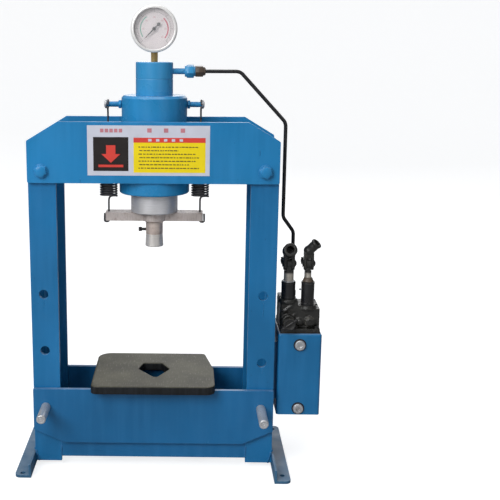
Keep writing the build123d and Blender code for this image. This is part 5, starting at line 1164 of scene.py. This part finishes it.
# %% Levers
PIVOT_Z = 451.5
PIVOT_Y = -2.0
for name, x, rise, half, mouth, way in (
    ("low", LOW_X, 26.0, 12.0, 13.0, (0.0, -0.94, 0.34)),
    ("high", HIGH_X, 28.0, 10.4, 10.4, (0.62, -0.3, 0.725)),
):
    shape = packed_copy([f"{name}_lever"])
    knuckle = Vector((x, PUMP_Y, PIVOT_Z + rise))
    way = Vector(way).normalized()
    turned(
        shape, [(8.1, 0), (mouth + 1.5, 0), (mouth + 1.8, 2), (mouth + 1.4, 4.5), (8.1, 5.0)],
        knuckle + way * 20.5, way, 40, True,
    )
    for y in (PUMP_Y, PIVOT_Y):
        for hand in (-1, 1):
            turned(
                shape,
                [(4.0, 0), (7.6, 0), (7.2, 1.8), (6.2, 2.6), (4.0, 2.7)],
                (x + hand * (half - 0.6), y, PIVOT_Z),
                (hand, 0, 0),
                28,
                True,
            )
    bar(shape, 4.0, knuckle + Vector((0, 9, -4)), (x, PIVOT_Y - 2, PIVOT_Z + 13.5), 1.5, 20)
    shape = melted(shape, 0.8, 4, 0.9, 7.0)
    lever = finish_piece(shape, f"{name}_cast_lever", f"lever_{name}", pump_iron, 70)
    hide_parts(f"{name}_lever")
    print(lever.name, "has", len(lever.data.polygons), "faces")

# %% [markdown]
# A lever swings on two cross pins. Each pin has a domed head on one side and a split pin through its
# other end, so that it can't walk out. They are turned and bent from the same two tools as before.

# %% Lever pins
for name, x, reach in (("low", LOW_X, 15.5), ("high", HIGH_X, 13.9)):
    shape = bmesh.new()
    for y in (PUMP_Y, PIVOT_Y):
        shank = [(0, -reach), (3.0, -reach), (3.9, -reach + 0.9), (3.95, reach - 2.0)]
        dome = [(5.6, reach - 1.9), (5.4, reach - 0.6), (3.2, reach + 0.4), (0, reach + 0.6)]
        turned(shape, shank + dome, (x, y, PIVOT_Z), RIGHT, 32)
        split_x = x - reach + 1.2
        legs = [(split_x, y, PIVOT_Z + 6.4), (split_x, y, PIVOT_Z), (split_x, y - 0.5, PIVOT_Z - 6.0)]
        bent_bar(shape, legs + [(split_x - 0.8, y - 2.5, PIVOT_Z - 8.4)], 0.6)
        ball(shape, 1.3, (split_x, y, PIVOT_Z + 6.6), 12, 8)
    pins = finish_piece(shape, f"{name}_swing_pins", f"lever_{name}", black_lacquer, 40)
    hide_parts(f"{name}_lever_pins")
print("four cross pins with split pins")

# %% Fulcrum posts, barrels and glands
shape = packed_copy(["fulcrum_posts"])
posts = finish_piece(
    melted(shape, 0.8, 3, 0.5, 6.0), "cast_posts", "frame", pump_iron, 70,
)
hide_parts("fulcrum_posts")

shape = bmesh.new()
turned(
    shape, [(7.0, 0.3), (11.6, 0.3), (11.9, 1.0), (8.9, 8.2), (8.0, 8.9), (7.0, 8.9)],
    (HIGH_X, PUMP_Y, BARREL_TOP), steps=48, ring=True,
)
finish_piece(shape, "high_plunger_gland", "frame", nut_steel, 40)

shape = bmesh.new()
turned(
    shape, [(10.9, 0.1), (14.2, 0.1), (14.4, 1.0), (13.4, 1.9), (11.2, 2.1), (10.9, 1.9)],
    (LOW_X, PUMP_Y, BARREL_TOP), steps=48, ring=True,
)
finish_piece(shape, "low_plunger_gland", "frame", zinc, 40)

shape = bmesh.new()
for x, radius, foot in ((LOW_X, 15.05, 375.5), (HIGH_X, 14.05, 361.5)):
    for height in (foot + 3, 407.5):
        turned(
            shape, [(radius - 0.4, 0), (radius + 0.5, 0.2), (radius + 0.5, 1.6), (radius - 0.4, 1.8)],
            (x, PUMP_Y, height), steps=48, ring=True,
        )
finish_piece(shape, "barrel_rings", "frame", black_lacquer, 40)
print("posts, glands and barrel rings made")

# %% [markdown]
# The release valve is opened by hand, with a round ribbed knob and a cross bar through it. The ribs are
# small bars laid round the rim. The two caps beside it close the check valve and the relief valve: plain
# hexagons with a turned washer face and a low dome.

# %% Release valve and caps
KNOB_BACK = -56.5
KNOB_R = 12.35
BAR_SLANT = math.radians(35)
shape = bmesh.new()
turned(
    shape, [(0, -40), (4.4, -40), (4.95, -39.4), (4.95, 0), (0, 0)], (VALVE_X, KNOB_BACK, VALVE_Z),
    FRONT, 32,
)
turned(
    shape,
    [
        (0, 0), (8, 0), (9.5, 1.0), (12.0, 2.2), (12.5, 3.2), (12.5, 12.6), (12.0, 13.8), (10.2, 14.6),
        (9.0, 13.4), (6.0, 13.0), (0, 13.0),
    ],
    (VALVE_X, KNOB_BACK, VALVE_Z),
    FRONT,
    64,
)
for step in range(24):
    angle = step * math.pi / 12
    rib = Vector(
        (VALVE_X + KNOB_R * math.cos(angle), KNOB_BACK - 3.4, VALVE_Z + KNOB_R * math.sin(angle))
    )
    bar(shape, 0.65, rib, rib + Vector((0, -9, 0)), 0.2, 8)
knob = finish_piece(shape, "release_knob", "release_valve", pump_iron, 40)
shape = bmesh.new()
slant = Vector((math.cos(BAR_SLANT), 0, math.sin(BAR_SLANT)))
middle = Vector((VALVE_X, -68.0, VALVE_Z))
bar(shape, 2.9, middle - slant * 17, middle + slant * 17, 0.8, 24)
for end in (-16.2, 16.2):
    ball(shape, 3.6, middle + slant * end, 20, 12)
turned(
    shape, [(9.2, 0), (12.3, 0.2), (12.5, 0.9), (10.4, 1.5), (9.4, 1.0)],
    (VALVE_X, KNOB_BACK - 13.7, VALVE_Z), FRONT, 64, True,
)
cross = finish_piece(shape, "release_bar", "release_valve", black_lacquer, 40)
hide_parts("release_valve")

shape = bmesh.new()
for x, across, tall in ((CHECK_CAP_X, 12.6, 4.6), (RELIEF_CAP_X, 19.4, 5.0)):
    face = across / 2
    turned(
        shape,
        [
            (0, -8), (4.6, -8), (4.6, 1.2), (face + 1.6, 1.4), (face + 1.8, 2.4), (face + 1.4, 2.8),
            (0, 2.8),
        ],
        (x, BLOCK_FRONT, VALVE_Z), FRONT, 40,
    )
    hexagon(shape, across, tall, (x, BLOCK_FRONT - 2.6, VALVE_Z), FRONT, 1.0, 10)
    turned(
        shape, [(0, 0), (face - 0.6, 0), (face - 1.4, 0.7), (face / 2, 1.3), (0, 1.4)],
        (x, BLOCK_FRONT - 2.5 - tall, VALVE_Z), FRONT, 40,
    )
caps = finish_piece(shape, "valve_cap_set", "frame", pump_iron, 40)
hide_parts("valve_caps")

shape = bmesh.new()
for x in (280, 351):
    for y in (-49, 49):
        turned(
            shape, [(0, 0), (5.9, 0), (6.1, 0.3), (6.1, 1.0), (5.8, 1.3), (0, 1.3)], (x, y, 313),
            steps=32,
        )
        hexagon(shape, 10.0, 4.2, (x, y, 314), UP, 0.6, 13 + y)
screws = finish_piece(shape, "block_screws", "frame", black_lacquer, 40)
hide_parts("block_bolts")
print("release valve, caps and block screws made")

# %% [markdown]
# The tank is a folded and welded box that hangs on a bracket. Its filler and drain are bright plugs with
# a hexagonal socket. The socket is made the way a drawing shows it: a six-sided edge inside a round one,
# bridged into a flat face, and then pushed in.

# %% Tank plugs
TANK_FRONT = -62.0


def socket_plug(shape, x, z, radius, across):
    """A round plug with a hexagonal socket that faces the operator."""
    before = set(shape.verts)
    lips = []
    for sides, size, height in (
        (48, radius, 0.0), (48, radius, 5.6), (48, radius - 1.4, 7.0), (6, across / math.sqrt(3), 7.0),
    ):
        made = bmesh.ops.create_circle(shape, segments=sides, radius=size)["verts"]
        bmesh.ops.translate(shape, vec=(0, 0, height), verts=made)
        lips.append(list({e for v in made for e in v.link_edges}))
    for low, high in zip(lips, lips[1:]):
        bmesh.ops.bridge_loops(shape, edges=low + high)
    pushed = bmesh.ops.extrude_edge_only(shape, edges=lips[-1])["geom"]
    deep = [g for g in pushed if isinstance(g, bmesh.types.BMVert)]
    bmesh.ops.translate(shape, vec=(0, 0, -5.0), verts=deep)
    bmesh.ops.contextual_create(shape, geom=deep)
    bmesh.ops.contextual_create(shape, geom=list({v for e in lips[0] for v in e.verts}))
    return set_up(shape, before, (x, TANK_FRONT, z), FRONT)


PLUG_X = 315.0
PLUG_HEIGHTS = (279.0, 135.0)
shape = bmesh.new()
for z in PLUG_HEIGHTS:
    socket_plug(shape, PLUG_X, z, 11.0, 9.6)
plugs = finish_piece(shape, "socket_plugs", "frame", zinc, 35)
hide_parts("tank_plugs")
shape = bmesh.new()
for z in PLUG_HEIGHTS:
    seal = [(8, 0), (13.2, 0), (13.6, 0.4), (13.6, 1.1), (13.1, 1.5), (8, 1.5)]
    turned(shape, seal, (PLUG_X, TANK_FRONT, z), FRONT, 48, True)
finish_piece(shape, "plug_washers", "frame", seal_rubber, 35)
print("two socket plugs on sealing washers")

# %% Tank bolts
low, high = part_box("tank_bolts")
shape = bmesh.new()
for y in (-30.0, 30.0):
    for z in (170.0, 260.0):
        turned(
            shape, [(0, 0), (9.6, 0), (9.8, 0.4), (9.8, 1.5), (9.4, 1.9), (0, 1.9)], (254.0, y, z),
            LEFT, 40,
        )
        hexagon(shape, 15.6, 5.4, (252.3, y, z), LEFT, 0.9, 12 + z)
        bar(shape, 4.9, (253, y, z), (high.x / MM, y, z), 0.8, 24)
tank_bolts = finish_piece(shape, "tank_bolt_set", "frame", zinc, 40)
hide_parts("tank_bolts")
print("tank bolts reach from", round(low.x / MM, 1), "to", round(high.x / MM, 1), "mm")

# %% [markdown]
# A few small things tell that a machine has been used and repaired: a wiper that bulges round the ram, a
# rubber blow-out plug in the gauge's back, and runs where the enamel was sprayed too wet under a hole.

# %% Wiper, blow-out plug and paint runs
shape = bmesh.new()
turned(
    shape, [(50.4, 0), (53.0, -2.2), (54.6, -2.0), (55.4, 0.2), (55.4, 3.0), (50.4, 3.0)],
    (0, 0, 599.0), steps=96, ring=True,
)
finish_piece(shape, "ram_wiper", "frame", seal_rubber, 60)

shape = bmesh.new()
turned(
    shape, [(0, 0), (9.5, 0), (10.2, 0.7), (9.8, 1.8), (6.0, 2.4), (5.2, 1.6), (0, 1.4)],
    (0, 21.8, 962), BACK, 40,
)
for x in (-26, 26):
    turned(shape, [(0, 0), (3.2, 0), (3.0, 1.0), (1.6, 1.6), (0, 1.7)], (x, 21.8, 930), BACK, 24)
finish_piece(shape, "gauge_back_plug", "frame", seal_rubber, 50)

shape = bmesh.new()
RUNS = [
    (233.4, 374, 30), (-233.5, 377, 14), (234.2, 226, 9), (-150, 640, 9), (120, 66, 7), (218, 700, 12),
]
for x, z, length in RUNS:
    face = -80.0 if z > 560 or z < 180 else -70.0
    before = set(shape.verts)
    bmesh.ops.create_uvsphere(shape, u_segments=12, v_segments=10, radius=1.0)
    fresh = made_since(shape, before)
    bmesh.ops.scale(shape, vec=(1.1, 0.5, length / 2), verts=fresh)
    bmesh.ops.translate(shape, vec=(x, face, z - length / 2), verts=fresh)
    ball(shape, 1.5, (x, face + 0.7, z - length + 1), 12, 8)
finish_piece(shape, "enamel_runs", "frame", upright_enamel_painted_half_shade, 60)
print("wiper, blow-out plug and six runs made")

# %% [markdown]
# The press stands on a pale studio floor that curves up all round it into a bowl, so that no view shows
# a horizon. A flat plane would end in a hard line behind the gauge. Two wide soft lights in front and one
# overhead give the broad, shadowless look of a catalogue picture, and a weak one behind serves the back.

# %% Floor
shape = bmesh.new()
bowl = [
    (0, -0.4), (3200, -0.4), (3700, 60), (4200, 260), (4650, 640), (4950, 1150), (5050, 1900),
    (5080, 3600),
]
turned(shape, bowl, steps=96)
bmesh.ops.remove_doubles(shape, verts=shape.verts[:], dist=0.01)
bmesh.ops.scale(shape, vec=(MM, MM, MM), verts=shape.verts[:])
bmesh.ops.recalc_face_normals(shape, faces=shape.faces[:])
floor_mesh = bpy.data.meshes.new("studio_floor")
shape.to_mesh(floor_mesh)
shape.free()
floor_mesh.shade_smooth()
paper, tree, shader = blank_finish("studio_paper")
shader.inputs["Base Color"].default_value = (0.42, 0.42, 0.425, 1)
shader.inputs["Roughness"].default_value = 0.9
shader.inputs["Emission Color"].default_value = (0.98, 0.99, 1.0, 1)
seen = add_node(tree, "ShaderNodeLightPath", {}).outputs["Is Camera Ray"]
tree.links.new(times(tree, seen, 0.80), shader.inputs["Emission Strength"])
floor_mesh.materials.append(paper)
floor = bpy.data.objects.new("studio_floor", floor_mesh)
scene.collection.objects.link(floor)
print("floor is", 2 * 5.08, "m across")

# %% Lights
def soft_light(name, place, aim, size, power, tint=(1, 1, 1)):
    """A square soft light that looks at a point."""
    lamp = bpy.data.lights.new(name, "AREA")
    lamp.size = size
    lamp.energy = power
    lamp.color = tint
    holder = bpy.data.objects.new(name, lamp)
    place = Vector(place)
    turn = (place - Vector(aim)).to_track_quat("Z", "Y").to_matrix().to_4x4()
    holder.matrix_world = Matrix.Translation(place) @ turn
    scene.collection.objects.link(holder)


soft_light("key", (-1.7, -2.6, 2.2), (0, 0, 0.5), 1.8, 88)
soft_light("fill", (1.9, -2.6, 1.5), (0, 0, 0.4), 2.0, 9)
soft_light("overhead", (-0.3, -0.3, 3.2), (0, 0, 0.3), 2.2, 42)
soft_light("behind", (0.6, 3.0, 2.0), (0, 0, 0.5), 2.4, 32)
world = bpy.data.worlds.new("studio")
world.use_nodes = True
world.node_tree.nodes["Background"].inputs["Color"].default_value = (0.95, 0.97, 1.0, 1)
world.node_tree.nodes["Background"].inputs["Strength"].default_value = 0.22
scene.world = world
print("four soft lights and a pale sky")
